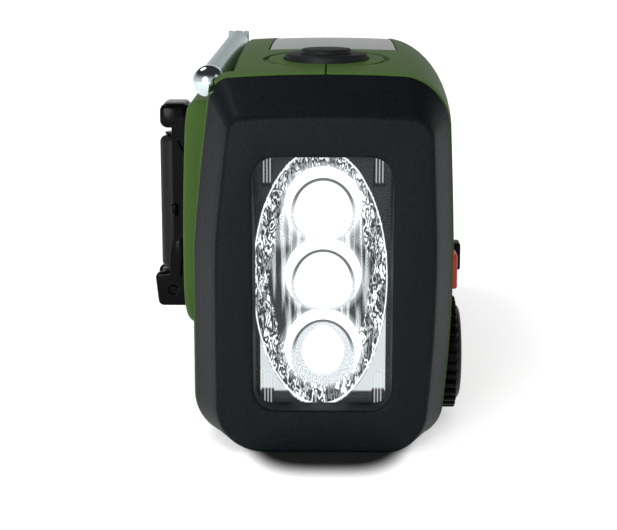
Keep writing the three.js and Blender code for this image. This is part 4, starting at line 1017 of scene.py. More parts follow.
def glare_painted_mirror(name, sizes, tone):
    """The mirror with its glare, reflections and shade painted on as emission: three hot bowls, a streaky
    oval dish with a broken-up border, and its corners
    """
    lamp = sizes.lamp
    material, tree, shader = new_material(name)
    x, _, z = object_axes(tree)

    def node(operation, *values):
        return math_node(tree, operation, *values)

    def ramp(value, levels):
        return ramp_node(tree, value, *levels)

    def noise(scale):
        return stretched_noise(tree, x, z, *scale)

    side = node("SUBTRACT", x, lamp.side)
    up = node("SUBTRACT", z, sizes.lamp_middle)
    step = node("ROUND", node("DIVIDE", up, lamp.bowl_pitch))
    step = node("MAXIMUM", node("MINIMUM", step, 1.0), -1.0)
    rise = node("SUBTRACT", up, node("MULTIPLY", step, lamp.bowl_pitch))
    outside = node("SUBTRACT", distance_node(tree, side, rise), lamp.bowl_radius)
    rise = node("ADD", rise, lamp.bowl_parallax)
    radius = distance_node(tree, side, rise)
    oval_side = node("DIVIDE", node("SUBTRACT", side, lamp.oval_shift), lamp.oval_half_width)
    oval = distance_node(tree, oval_side, node("DIVIDE", up, lamp.oval_half_height))

    # Painted reflections in the dish: speckle, streaks, a pale field and glints in its broken-up border
    speckle = noise(Glare.speckle_scale)
    pale = node("MULTIPLY", ramp(up, Glare.pale_start), ramp(up, Glare.pale_top))
    streak = node("ADD", ramp(noise(Glare.streak_scale), Glare.streaks), pale)
    streak = node("MULTIPLY", streak, ramp(speckle, Glare.streak_speckle))
    streak = node("MULTIPLY", streak, Glare.streak_share)
    wave = node("MULTIPLY", noise(Glare.vein_scale), Glare.vein_waves)
    cells = ramp(random_cells(tree, x, z, *Glare.cell_scale), Glare.cells)
    mosaic = node("MULTIPLY", ramp(node("SINE", wave), Glare.veins), cells)
    ragged = node("MULTIPLY_ADD", noise(Glare.ragged_scale), Glare.ragged, oval)
    dish = blend(tree, ramp(ragged, Glare.border_start), streak, mosaic)
    # A painted hot rim of glare round each bowl
    dish = node("ADD", dish, ramp(outside, Glare.hot_rim))

    # Painted glare in the bowls: a bright core, a painted dark crescent of shade over it and a bright inner
    # rim
    core = node("SUBTRACT", radius, ramp(up, Glare.core_radius))
    bowl = ramp(speckle, Glare.bowl_speckle)
    bowl = blend(tree, ramp(core, Glare.core_edge), bowl, Glare.core_level)
    upper = ramp(node("DIVIDE", rise, radius), Glare.crescent_side)
    crescent = node("MULTIPLY", within(tree, radius, *Glare.crescent), upper)
    bowl = blend(tree, crescent, bowl, Glare.crescent_level)
    bowl = blend(tree, ramp(radius, Glare.inner_rim), bowl, Glare.inner_rim_level)
    dish = blend(tree, ramp(outside, Glare.bowl_edge), dish, bowl)

    # Painted light on the lower corners outside the oval, a painted bright rim on the oval, and painted shade
    # on the side strips
    foot = ramp(node("SUBTRACT", z, lamp.bottom), Glare.corner_foot)
    corner = node("MULTIPLY", ramp(up, Glare.corners), foot)
    past_oval = ramp(oval, Glare.oval_edge)
    level = blend(tree, past_oval, dish, corner)
    level = blend(tree, within(tree, oval, *Glare.oval_rim), level, Glare.oval_rim_level)
    away = node("ABSOLUTE", side)
    strip = ramp(node("SUBTRACT", away, lamp.half_width), Glare.side_strip)
    level = blend(tree, node("MULTIPLY", strip, past_oval), level, Glare.side_level)

    # Painted highlights along the clear pegs' outlines
    peg = node("ABSOLUTE", node("SUBTRACT", away, lamp.peg_side))
    reach = (lamp.top - lamp.bottom) / 2 - lamp.peg_length
    outline = within(tree, peg, *Glare.peg_edge)
    outline = node("MAXIMUM", outline, within(tree, peg, *Glare.peg_axis))
    end = ramp(node("SUBTRACT", node("ABSOLUTE", up), reach), Glare.peg_end)
    outline = node("MULTIPLY", node("MULTIPLY", outline, end), Glare.peg_share)
    level = blend(tree, outline, level, 1.0)

    shader.inputs["Roughness"].default_value = 0.5
    shader.inputs["Specular IOR Level"].default_value = 0.1
    shader.inputs["Base Color"].default_value = (0.02, 0.022, 0.024, 1.0)
    shader.inputs["Emission Color"].default_value = (*tone, 1.0)
    tree.links.new(level, shader.inputs["Emission Strength"])
    return material


def looks(color, roughness, **others):
    """The settings of one material, beside the defaults of its kind"""
    return {"color": color, "roughness": roughness, **others}


PLASTICS = {
    "shell_green": looks(
        (0.055, 0.106, 0.026), 0.42, gloss=0.02, shade=0.04, scale=2200.0, strength=0.22
    ),
    "cap_black": looks(
        (0.0030, 0.0052, 0.0068), 0.5, gloss=0.09, shade=0.25, scale=1500.0, strength=0.7, depth=0.12
    ),
    "rubber_black": looks(
        (0.006, 0.007, 0.008), 0.55, gloss=0.2, shade=0.1, scale=1800.0, strength=0.5, depth=0.08, edge=0.5
    ),
    "control_black": looks(
        (0.003, 0.003, 0.0035), 0.35, gloss=0.06, shade=0.08, scale=2000.0, strength=0.2, depth=0.04, edge=0.2
    ),
    "crank_black": looks(
        (0.002, 0.002, 0.0024), 0.16, gloss=0.06, scale=1500.0, strength=0.03, depth=0.02, edge=0.3
    ),
    "grip_black": looks(
        (0.006, 0.0075, 0.009), 0.5, gloss=0.15, shade=0.3, scale=1300.0, strength=0.8, depth=0.14, edge=0.3
    ),
    "board": looks((0.02, 0.1, 0.04), 0.45, shade=0.1, scale=800.0, strength=0.1),
    "gear_white": looks((0.72, 0.70, 0.63), 0.4),
    "alarm_red": looks((0.72, 0.045, 0.036), 0.33),
    "display": looks(
        (0.02, 0.028, 0.022), 0.15, shade=0.0, scale=1500.0, strength=0.0, depth=0.01, edge=0.0
    ),
    "speaker_cone": looks((0.012, 0.012, 0.013), 0.6),
    "battery_wrap": looks((0.04, 0.11, 0.25), 0.3),
}
METALS = {
    "chrome": looks((0.58, 0.66, 0.68), 0.13, scale=300.0, strength=0.01, edge=0.1),
    "steel": looks((0.47, 0.61, 0.61), 0.34, scale=1200.0, strength=0.05),
    "dark_steel": looks((0.06, 0.062, 0.065), 0.4, scale=1200.0, strength=0.05),
    "cast_steel": looks((0.42, 0.52, 0.52), 0.5, metallic=0.3),
    "brass": looks((0.55, 0.38, 0.15), 0.3),
}


class Palette:
    """Every material of the radio, by its name"""

    def __init__(self, sizes):
        for make, table in ((plastic, PLASTICS), (metal, METALS)):
            for name, look in table.items():
                setattr(self, name, make(name, **look))
        self.reflector = glare_painted_mirror("reflector", sizes, tone=(0.93, 0.97, 1.0))
        self.clear = clear("clear")
        self.bulb = glowing("bulb", (1.0, 1.0, 1.0), strength=4.0)
        cell, line = (0.17, 0.18, 0.175), (0.26, 0.27, 0.26)
        self.solar = cells_of("solar", cell, line, pitch=5.8, width=0.05)


class Shared:
    """What the operators share while they build: sizes, materials and node groups"""

    def __init__(self, scene):
        self.sizes = Sizes(scene)
        self.paint = Palette(self.sizes)
        self.round_array = array_group("Array round X", True)
        self.rising_array = array_group("Array along Z", False)


_shared = {}


def shared():
    if "kit" not in _shared:
        _shared["kit"] = Shared(bpy.context.scene)
    return _shared["kit"]


def placed(made, body, slot, *nodes):
    """Lets a finished piece ride its CAD body in place of its CAD nodes"""
    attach(made, body)
    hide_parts(*nodes)
    return made


# Shells


# Where rings are put on a fillet, as shares of it, and the least step between two rings
FILLET_SHARES = (0.55, 0.2, 0.0)
RING_STEP = 0.001
SHELL_FILLET = 0.6


def body_solid(sizes, name, inset, stations=44, fillet=0.0, reach=0.0):
    """The body between its caps, moved inwards by the inset, with softened end edges"""
    start, end = sizes.joint_front - reach, sizes.joint_back + reach
    places = [start + (end - start) * k / stations for k in range(1, stations)]
    rings = [body_ring(sizes, y, inset) for y in places]
    for share in FILLET_SHARES:
        back = fillet * (1 - math.sqrt(1 - (1 - share) ** 2))
        along = max(fillet * share, RING_STEP * (1 + share))
        rings.insert(0, body_ring(sizes, start + along, inset + back))
        rings.append(body_ring(sizes, end - along, inset + back))
    return loft(name, rings)


def crank_pad(sizes, name):
    """The raised pad that the folded crank lies on: rounded at its edge, fullest below its middle"""
    crank = sizes.crank
    start = sizes.body.half_width - sizes.body.wall - sizes.cap.edge_round
    middle = (sizes.crank_place, (crank.pad_bottom + crank.pad_top) / 2)
    corners = (crank.pad_top_corner,) * 2 + (crank.pad_low_corner,) * 2

    def ring(x, inset, size=1.0):
        points = rounded_outline(
            sizes.crank_place - crank.pad_half_length + inset,
            sizes.crank_place + crank.pad_half_length - inset,
            crank.pad_bottom + inset,
            crank.pad_top - inset,
            [corner - inset for corner in corners],
            corner_steps=10,
            edge_steps=16,
        )
        return x, [tuple(m + (p - m) * size for p, m in zip(point, middle)) for point in points]

    rings = [ring(start, 0.0), ring(crank.pad_face - crank.pad_round, 0.0)]
    for c, s in quarter(7, first=1):
        rings.append(ring(crank.pad_face - crank.pad_round * (1 - s), crank.pad_round * (1 - c)))
    shrinks = 10
    for step in range(1, shrinks):
        rings.append(ring(crank.pad_face, crank.pad_round, 1 - step / shrinks))
    pad = loft(name, rings)
    for vertex in pad.data.vertices:
        x, y, z = vertex.co
        away = (z / MM - crank.pad_fullest) / crank.pad_fullest
        outer = y > (crank.pad_face - crank.pad_round - GAP) * MM
        bow = crank.pad_bow * away**2 if outer else 0.0
        vertex.co = (bow * MM - y, x, z)
    return pad


def solar_box(sizes, name, room=0.0):
    """The solar panel's area on the top, with room round it"""
    top = sizes.top
    left, right = top.solar_offset - top.solar_half_width, top.solar_offset + top.solar_half_width
    front, back = sizes.front + top.solar_from_face, sizes.back - top.solar_from_tail
    low = (left - room, front - room, sizes.body.crest - TOP_DEPTH)
    return box(name, low, (right + room, back + room, FAR))


def top_cuts(sizes):
    """The steps that cut the lamp button's hole and ring, and the solar panel's pocket"""
    top = sizes.top
    place = (0.0, sizes.button, 0.0)
    floor = body_top(sizes, sizes.button) - top.ring_depth
    start = sizes.body.crest - TOP_DEPTH
    hole = rod("hole", top.button_radius + GAP, start, FAR, place, sides=96)
    outer = rod("ring", top.ring_radius + top.ring_width / 2, floor, FAR, place, sides=128)
    past = FAR + SHORT_OVERLAP
    core = rod("core", top.ring_radius - top.ring_width / 2, 0.0, past, place, sides=128)
    combine(outer, cutting(core))
    pocket = solar_box(sizes, "pocket", GAP)
    depth = top.solar_sink + top.solar_thickness + GAP
    combine(pocket, cutting(body_solid(sizes, "kept", depth)))
    return cutting(hole, outer, pocket)


def base_recess():
    """The recess that the base pad lies in"""
    low, high = in_mm(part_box("base_pad"))
    return box(
        "recess", (low[0] - GAP, low[1] - GAP, -SHORT_OVERLAP), [value + GAP for value in high]
    )


def side_plate(name, x0, x1, y, z, half_length, half_height, edge=0.0):
    return box(name, (x0, y - half_length, z - half_height), (x1, y + half_length, z + half_height), edge)


def hollow_body(sizes):
    """The room inside the shells"""
    return body_solid(sizes, "inside", sizes.body.wall, stations=24, reach=OVERLAP)


def make_front_shell(kit):
    sizes, control = kit.sizes, kit.sizes.control
    shell = body_solid(sizes, "front_shell_look", 0.0, fillet=SHELL_FILLET)
    wells, cuts = [], []
    seat_radius, inner = control.knob_radius + 2 * GAP, control.knob_inner - GAP
    well_radius, floor = seat_radius + control.recess_wall, inner - control.knob_floor
    bore_start = 5.0
    for place in sizes.knobs:
        centre = (0.0, place, control.knob_height)
        well = rod("well", well_radius, floor, FAR, centre, "X", sides=96)
        combine(well, [("INTERSECT", body_solid(sizes, "limit", FLUSH, stations=20))])
        wells.append(("UNION", well))
        cuts.append(rod("seat", seat_radius, inner, FAR, centre, "X", sides=96))
        cuts.append(rod("bore", control.shaft_radius + GAP, bore_start, FAR, centre, "X", sides=48))
    speaker = (0.0, sizes.back - control.speaker_from_tail, control.speaker_height)
    seat_radius = control.grille_radius + GAP
    cuts.append(rod("grille_seat", seat_radius, SIDE_DEPTH, FAR, speaker, "X", sides=128))
    display = sizes.front + control.display_from_face + control.display_half_length
    alarm = sizes.front + control.alarm_from_face
    half_travel = control.band_travel / 2
    band = sizes.front + control.band_from_face + half_travel
    band_half = control.band_half_length + half_travel
    plates = (
        (display, control.display_height, control.display_half_length, control.display_half_height),
        (alarm, control.alarm_height, control.alarm_half_length, control.alarm_half_height),
        (band, control.band_height, band_half, control.band_half_height),
    )
    for y, z, half_length, half_height in plates:
        cuts.append(side_plate("cut", SIDE_DEPTH, FAR, y, z, half_length + GAP, half_height + GAP))
    half = box("half", (sizes.body.seam / 2, -FAR, -FAR), (FAR, FAR, FAR))
    steps = cutting(hollow_body(sizes)) + wells + [("INTERSECT", half)]
    steps += cutting(*cuts) + top_cuts(sizes) + cutting(base_recess())
    combine(shell, steps)
    painted(shell, kit.paint.shell_green)
    return placed(smooth(shell), "root", "shell_green", "front_shell")


def screw_holes():
    """The sunk holes that the heads of the four shell screws lie in"""
    holes = []
    for number in range(1, 5):
        low, high = in_mm(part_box("shell_screw_%d" % number))
        radius = (high[1] - low[1]) / 2 + GAP
        centre = (0.0, (low[1] + high[1]) / 2, (low[2] + high[2]) / 2)
        seat = low[0] + SCREW_HEAD_HEIGHT + GAP
        holes.append(rod("screw_hole", radius, -FAR, seat, centre, "X", sides=48))
    return holes


# The boss round the antenna's post: how far it goes below the post, how far it stays under the
# groove's floor and inside the body, and how far its axis is off the post's
BOSS_BELOW = 4.0
BOSS_SINK = 0.5
BOSS_SHIFT = 0.4


def make_rear_shell(kit):
    sizes, antenna, crank = kit.sizes, kit.sizes.antenna, kit.sizes.crank
    shell = body_solid(sizes, "rear_shell_look", 0.0, fillet=SHELL_FILLET)
    wall, floor, front, back = sizes.body.wall, sizes.groove_floor, sizes.groove_front, sizes.groove_back
    side = -antenna.wall_side
    liner = box(
        "liner", (-FAR, front - wall, floor - wall), (GAP + side + wall, back + wall, FAR)
    )
    combine(liner, [("INTERSECT", body_solid(sizes, "limit", FLUSH, stations=30))])
    post_foot = floor - antenna.post_length
    place = (BOSS_SHIFT - antenna.side, sizes.hinge, 0.0)
    boss = rod("boss", antenna.boss_radius, post_foot - BOSS_BELOW, floor - BOSS_SINK, place)
    combine(boss, [("INTERSECT", body_solid(sizes, "limit", BOSS_SINK, stations=30))])
    groove = box("groove", (-FAR, front, floor), (side, back, FAR))
    tail = box("tail_groove", (-FAR, front, floor + antenna.tail_rise), (side, FAR, FAR))
    path = antenna_path(sizes)
    place = (-antenna.side, sizes.hinge, 0.0)
    post = rod("post", antenna.post_radius + GAP, post_foot - GAP, FAR, place)
    place = (0.0, sizes.crank_place, crank.hub_height)
    shaft = rod("shaft", crank.shaft_radius + GAP, -FAR, 0.0, place, "X")
    half = box("half", (-FAR, -FAR, -FAR), (-sizes.body.seam / 2, FAR, FAR))
    steps = [
        ("UNION", crank_pad(sizes, "pad")),
        ("DIFFERENCE", hollow_body(sizes)),
        ("UNION", liner),
        ("UNION", boss),
        ("INTERSECT", half),
    ]
    steps += top_cuts(sizes) + cutting(base_recess(), groove, tail, path, post, shaft, *screw_holes())
    combine(shell, steps)
    painted(shell, kit.paint.shell_green)
    return placed(smooth(shell), "root", "shell_green", "rear_shell")


def antenna_path(sizes):
    """The notch that the antenna's inner sections are drawn out through"""
    place = (-sizes.antenna.side, 0.0, sizes.antenna_height)
    start, end = sizes.front - OVERLAP, sizes.groove_front + OVERLAP
    return rod("path", sizes.inner_radius + GAP, start, end, place, "Y")


# End caps


# Where rings are put behind the rounded edge, from the face (1) to the joint with the shells (0)
CAP_SHARES = (0.7, 0.5, 0.3, 0.15, 0.0)
# How much the cap swells in from a straight flare near its face
CAP_HOLLOW = 0.4


def hollow_cap(sizes, name, way):
    """A flared end cap with a skirt; the way is 1 at the lamp end and -1 at the tail"""
    cap, body = sizes.cap, sizes.body
    face = sizes.front if way > 0 else sizes.back
    joint = face + way * (cap.depth - GAP / 2)
    outer = []
    for c, s in quarter(8):
        depth, inset = cap.edge_round * (1 - c), cap.edge_round * (1 - s)
        outer.append(cap_ring(sizes, face + way * depth, joint, 1 - depth / cap.depth, inset))
    for share in CAP_SHARES:
        depth = cap.depth * (1 - share) - (GAP / 2 if share == 0 else 0.0)
        outer.append(cap_ring(sizes, face + way * depth, joint, share, CAP_HOLLOW * (1 - share)))
    inwards = body.wall + GAP
    hollow = inwards + cap.skirt_wall
    skirt_end = cap.depth + cap.skirt_depth
    skirt = [
        cap_ring(sizes, face + way * (cap.depth - OVERLAP), joint, 0.0, inwards),
        body_ring(sizes, face + way * skirt_end, inwards),
    ]
    cavity = [
        cap_ring(sizes, face + way * hollow, joint, 1 - hollow / cap.depth, hollow),
        cap_ring(sizes, joint, joint, 0.0, hollow),
        body_ring(sizes, face + way * (skirt_end + OVERLAP), hollow),
    ]
    if way < 0:
        for rings in (outer, skirt, cavity):
            rings.reverse()
    walls = loft(name, outer)
    return combine(walls, [("UNION", loft("skirt", skirt))]), loft("cavity", cavity)


def window_tunnel(sizes, name, margin, start, end, rounded=0.0):
    """The window's outline between two places, with a rounded edge at the face"""
    if not rounded:
        return loft(name, [window_ring(sizes, start, margin), window_ring(sizes, end, margin)])
    rounder = sizes.lamp.front_round
    wide = window_ring(sizes, sizes.front, margin + rounded, rounder)
    rings = [(start, wide[1])]
    for c, s in quarter(6):
        y = sizes.front + rounded * (1 - c)
        rings.append(window_ring(sizes, y, margin + rounded * (1 - s), rounder))
    rings.append(window_ring(sizes, end, margin))
    return loft(name, rings)


def make_lamp_bezel(kit):
    sizes, lamp = kit.sizes, kit.sizes.lamp
    bezel, cavity = hollow_cap(sizes, "lamp_bezel_look", 1)
    whole = copy_of(bezel, "whole")
    collar = window_tunnel(sizes, "collar", lamp.seat + lamp.collar, sizes.front, sizes.reflector)
    combine(collar, [("INTERSECT", whole)])
    start, end = sizes.front - OVERLAP, sizes.lens_front + OVERLAP
    tunnel = window_tunnel(sizes, "tunnel", 0.0, start, end, rounded=0.6)
    seat = window_tunnel(sizes, "seat", lamp.seat, sizes.lens_front, sizes.reflector + OVERLAP)
    steps = [*cutting(cavity), ("UNION", collar), *cutting(tunnel, seat, antenna_path(sizes))]
    combine(bezel, steps)
    painted(bezel, kit.paint.cap_black)
    return placed(smooth(bezel), "root", "cap_black", "lamp_bezel")


def make_tail_cap(kit):
    sizes, control = kit.sizes, kit.sizes.control
    tail, cavity = hollow_cap(sizes, "tail_cap_look", -1)
    half_width = control.flap_half_width + GAP
    half_height = control.flap_half_height + GAP
    front, back = sizes.back - control.flap_thickness - GAP, sizes.back + OVERLAP
    recess = box(
        "recess",
        (-half_width, front, control.port_height - half_height),
        (half_width, back, control.port_height + half_height),
    )
    cuts = [cavity, recess]
    for node in ("usb_socket", "charge_socket"):
        low, high = in_mm(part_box(node))
        near = (low[0] - GAP, sizes.joint_back, low[2] - GAP)
        cuts.append(box("port", near, (high[0] + GAP, back, high[2] + GAP)))
    combine(tail, cutting(*cuts))
    painted(tail, kit.paint.cap_black)
    return placed(smooth(tail), "root", "cap_black", "tail_cap")


# Lamp


def make_lamp_lens(kit):
    sizes, lamp = kit.sizes, kit.sizes.lamp
    pane = window_tunnel(sizes, "lamp_lens_look", lamp.seat - GAP, sizes.lens_front, sizes.lens_back)
    pegs = []
    for across in (-1, 1):
        for edge, way in ((lamp.top, 1), (lamp.bottom, -1)):
            place = (lamp.side + across * lamp.peg_side, sizes.lens_back + lamp.peg_sink, 0.0)
            end = edge - way * lamp.peg_length
            low, high = min(edge, end), max(edge, end)
            profile = round_ended(lamp.peg_radius, low, high, steps=8)
            pegs.append(("UNION", turned("peg", profile, place, "Z", sides=32)))
    combine(pane, pegs)
    painted(pane, kit.paint.clear)
    return placed(smooth(pane), "root", "clear", "lamp_lens")


# How the dish and the bowls bend, the wall behind the bulbs, and how much smaller the mirror is
# than the bezel's collar
DISH_POWER = 0.7
BOWL_POWER = 0.6
BULB_WALL = 0.6
COLLAR_ROOM = 0.2
# How long a bulb's round end is
BULB_DOME = 1.6


def reflector_depth(sizes, x, z):
    """How far the reflector's mirror is behind its front, seen from the lamp's middle"""
    lamp = sizes.lamp
    up = z - sizes.lamp_middle
    reach = ((x - lamp.oval_shift) / lamp.oval_half_width) ** 2 + (up / lamp.oval_half_height) ** 2
    depth = lamp.oval_depth * (1 - reach) ** DISH_POWER if reach < 1 else 0.0
    for step in (-1, 0, 1):
        square = x**2 + (up - step * lamp.bowl_pitch) ** 2
        away = square / lamp.bowl_radius**2
        if away < 1:
            depth = max(depth, (lamp.oval_depth + lamp.bowl_depth) * (1 - away) ** BOWL_POWER)
        if math.sqrt(square) < lamp.bulb_hole:
            depth = lamp.reflector_depth - BULB_WALL
    inward = min(z - lamp.bottom, lamp.top - z)
    slot_half = lamp.peg_radius + GAP
    if abs(abs(x) - lamp.peg_side) < slot_half and inward < lamp.peg_length + GAP:
        depth = max(depth, lamp.peg_sink + slot_half)
    return depth


def make_reflector(kit):
    """The mirror as a fine height field with a plain back"""
    sizes, lamp = kit.sizes, kit.sizes.lamp
    margin = lamp.seat + lamp.collar - COLLAR_ROOM
    half = lamp.half_width + margin
    low, high = lamp.bottom - margin, lamp.top + margin
    across, rise = 200, 340
    vertices, faces = [], []
    for j in range(rise + 1):
        for i in range(across + 1):
            x = -half + 2 * half * i / across
            z = low + (high - low) * j / rise
            depth = reflector_depth(sizes, x, z)
            vertices.append((lamp.side + x, sizes.reflector + depth, z))
    for j in range(rise):
        for i in range(across):
            a = j * (across + 1) + i
            faces.append((a, a + 1, a + across + 2, a + across + 1))
    border = list(range(across + 1))
    border += [j * (across + 1) + across for j in range(1, rise + 1)]
    border += [rise * (across + 1) + i for i in reversed(range(across))]
    border += [j * (across + 1) for j in reversed(range(1, rise))]
    back = len(vertices)
    for index in border:
        x, _, z = vertices[index]
        vertices.append((x, sizes.reflector + lamp.reflector_depth, z))
    count = len(border)
    for k in range(count):
        after = (k + 1) % count
        faces.append((border[k], back + k, back + after, border[after]))
    faces.append(tuple(back + k for k in reversed(range(count))))
    mirror = mesh_object("lamp_reflector_look", vertices, faces, kit.paint.reflector)
    sharper = math.radians(60)
    return placed(smooth(mirror, sharper), "root", "chrome", "lamp_reflector")


def make_bulbs(kit):
    sizes, lamp = kit.sizes, kit.sizes.lamp
    for number, step in enumerate((1, 0, -1), start=1):
        node = "lamp_bulb_%d" % number
        low, high = in_mm(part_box(node))
        radius, end = lamp.bulb_radius, low[1] + BULB_DOME
        profile = [(radius * c, end - BULB_DOME * s) for c, s in reversed(quarter(8))]
        profile += [(radius, high[1]), (0.0, high[1])]
        place = (lamp.side, 0.0, sizes.lamp_middle + step * lamp.bowl_pitch)
        dome = turned(node + "_look", profile, place, "Y", sides=40, material=kit.paint.bulb)
        placed(smooth(dome), "root", "bulb", node)


# Top


def make_lamp_button(kit):
    sizes, top = kit.sizes, kit.sizes.top
    crest = body_top(sizes, sizes.button)
    under = crest - sizes.body.wall - 2 * top.flange_thickness
    skirt, disc = crest + top.step, crest + 2 * top.step
    flange, foot = top.button_radius + top.flange, under - top.stem_length
    shoulder = under + top.flange_thickness
    # The steps' rounding, how much the disc flares to its edge and its foot, and its flat crown
    edge, edge_flare, foot_flare = 0.5, 0.35, 0.5
    crown_share, crown_start, crown = 0.6, 0.05, 0.08
    profile = [(0.0, foot), (top.stem_radius, foot), (top.stem_radius, under), (flange, under)]
    profile += [(flange, shoulder), (top.button_radius, shoulder)]
    profile += rounded_edge(top.button_radius, skirt, edge, 5)
    profile.append((top.disc_radius + foot_flare, skirt))
    profile += rounded_edge(top.disc_radius + edge_flare, disc, edge, 5)
    profile += [(top.disc_radius * crown_share, disc + crown_start), (0.0, disc + crown)]
    place, black = (0.0, sizes.button, 0.0), kit.paint.rubber_black
    button = turned("lamp_button_look", profile, place, sides=96, material=black)
    return placed(smooth(button), "lamp_key", "rubber_black", "lamp_button")


def make_solar_panel(kit):
    sizes, top = kit.sizes, kit.sizes.top
    panel = body_solid(sizes, "solar_panel_look", top.solar_sink)
    below = body_solid(sizes, "below", top.solar_sink + top.solar_thickness, reach=OVERLAP)
    area = solar_box(sizes, "area")
    combine(panel, [*cutting(below), ("INTERSECT", area)])
    painted(panel, kit.paint.solar)
    return placed(smooth(panel), "root", "solar", "solar_panel")


# Antenna


# The antenna's hinge: its pin, half the tongue's width, and how far the tongue is in the tube
PIN_RADIUS = 1.0
TONGUE_HALF = 1.2
TONGUE_DEPTH = 1.5
# How much of a tube is closed at its back
TUBE_BACK = 3.0
# The tip's dome, and its groove and collar: inwards from its radius, and before its end
TIP_DOME = 2.6
TIP_STEPS = ((0.0, 1.7), (0.35, 1.5), (0.35, 1.25), (0.05, 1.1), (0.05, 0.3), (0.35, 0.0))


def tube(name, radius, bore, start, end, place, material, edge=0.2):
    """A tube along Y with softened ends, closed at its back"""
    profile = [(bore, start), (radius - edge, start), (radius, start + edge)]
    profile += [(radius, end - edge), (radius - edge, end), (bore, end)]
    made = turned(name, profile, place, "Y", 64, material)
    combine(made, cutting(rod("bore", bore, start - OVERLAP, end - TUBE_BACK, place, "Y", sides=48)))
    return smooth(made)


def make_antenna_base(kit):
    """The turning base, with its two ears rounded"""
    base = copy_of(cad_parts["antenna_base"], "antenna_base_look")
    bevelled(base, width=0.7, sharper=60)
    painted(base, kit.paint.cast_steel)
    return placed(smooth(base), "antenna_swivel", "steel", "antenna_base")


def make_antenna(kit):
    sizes, antenna, paint = kit.sizes, kit.sizes.antenna, kit.paint
    make_antenna_base(kit)
    place = (-antenna.side, 0.0, sizes.antenna_height)
    low, _ = in_mm(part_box("antenna_tube"))
    hinge, height = sizes.hinge, sizes.antenna_height
    barrel_end = hinge - (antenna.tube_radius - GAP) - 2 * GAP
    bore = sizes.inner_radius + antenna.tube_gap
    outer = tube(
        "antenna_tube_look", antenna.tube_radius, bore, low[1], barrel_end, place, paint.steel
    )
    knuckle_radius = PIN_RADIUS + GAP + antenna.knuckle_wall
    left, right = -antenna.side - TONGUE_HALF, -antenna.side + TONGUE_HALF
    tongue = box(
        "tongue",
        (left, barrel_end - TONGUE_DEPTH, height - knuckle_radius),
        (right, hinge, height + knuckle_radius),
        edge=0.2,
    )
    pin = (0.0, hinge, height)
    knuckle = rod("knuckle", knuckle_radius, left, right, pin, "X", sides=48)
    hole = rod("pin_hole", PIN_RADIUS + GAP, left - OVERLAP, right + OVERLAP, pin, "X", sides=32)
    combine(outer, [("UNION", tongue), ("UNION", knuckle), *cutting(hole)])
    placed(smooth(outer), "antenna_mast", "steel", "antenna_tube")
    low, high = in_mm(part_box("antenna_inner_tube"))
    bore = sizes.rod_radius + antenna.tube_gap
    inner = tube(
        "antenna_inner_tube_look", sizes.inner_radius, bore, low[1], high[1], place, paint.steel
    )
    placed(inner, "antenna_middle", "steel", "antenna_inner_tube")
    low, high = in_mm(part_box("antenna_rod"))
    profile = rounded_rod(sizes.rod_radius, low[1], high[1], edge=0.2)
    wire = turned("antenna_rod_look", profile, place, "Y", sides=40, material=paint.steel)
    placed(smooth(wire), "antenna_end", "steel", "antenna_rod")
    radius, start = antenna.tip_radius, sizes.front + antenna.tip_from_face - GAP
    end = start + antenna.tip_length
    profile = [(0.0, start)]
    profile += [(radius * s, start + TIP_DOME * (1 - c)) for c, s in quarter(16, first=1)]
    profile += [(radius - inwards, end - before) for inwards, before in TIP_STEPS]
    profile.append((0.0, end))
    tip = turned("antenna_tip_look", profile, place, "Y", sides=72, material=paint.chrome)
    sharper = math.radians(40)
    placed(smooth(tip, sharper), "antenna_end", "chrome", "antenna_tip")


# Crank


def prism(name, points, start, end, edge=0.0):
    """A flat outline of (x, z) points, anticlockwise from the lamp end, thickened along Y"""
    made = loft(name, [(start, points), (end, points)])
    return bevelled(made, edge, sharper=50) if edge else made


def lug_points(crank, reach, bottom, top, rounding, taper=0.0):
    """The outline of a lug in X and Z, with its two outer corners rounded"""
    points = [(-crank.arm_side, bottom), (-crank.arm_side, top)]
    for level, which, lean in ((top - rounding, 1, 0.0), (bottom + rounding, 2, taper)):
        middle = rounding - reach + lean
        points += [(middle + rounding * c, level + rounding * s) for c, s in quarter(8, which)]
    return points


# How high the rail's bend starts, as a share of its flare
KNEE_SHARE = 0.8


def rail_points(crank):
    """A rail's outline in X and Z, widening to the fork"""
    inner, outer = -crank.arm_side, -crank.arm_side - crank.rail_depth
    foot, shoulder = crank.fork_top - OVERLAP, crank.fork_top + crank.flare_height
    knee = crank.fork_top + KNEE_SHARE * crank.flare_height
    points = [(inner, foot), (inner, crank.hub_height), (outer, crank.hub_height), (outer, shoulder)]
    bends = 12
    for step in range(1, bends + 1):
        share = step / bends
        bend = 2 * share * (1 - share)
        height = shoulder * (1 - share) ** 2 + knee * bend + foot * share**2
        points.append((outer - crank.rail_flare * (bend + share**2), height))
    return points


# A fin, a boss and a rib on the arm's side: places out from the body's middle and up
ARM_FIN = (
    (-36.9, 33.0),
    (-36.6, 29.0),
    (-36.3, 25.0),
    (-35.4, 25.0),
    (-34.7, 30.0),
    (-35.05, 34.6),
    (-36.3, 34.1),
)
ARM_BOSS = ((-36.7, 43.2), (-36.7, 39.9))
ARM_RIB = ((-35.9, 58.3), (-34.0, 54.5))


def arm_rib(ends, radius, y):
    """A round rib lying on a rail's outer side"""
    (x0, z0), (x1, z1) = ends
    reach = math.hypot(x1 - x0, z1 - z0)
    rib = turned("rib", round_ended(radius, 0.0, reach, steps=6), (0.0, 0.0, 0.0), sides=24)
    lean = math.atan2(x1 - x0, z1 - z0)
    for vertex in rib.data.vertices:
        x, _, z = vertex.co / MM
        vertex.co.x = (x0 + x * math.cos(lean) + z * math.sin(lean)) * MM
        vertex.co.z = (z0 - x * math.sin(lean) + z * math.cos(lean)) * MM
        vertex.co.y += y * MM
    return rib


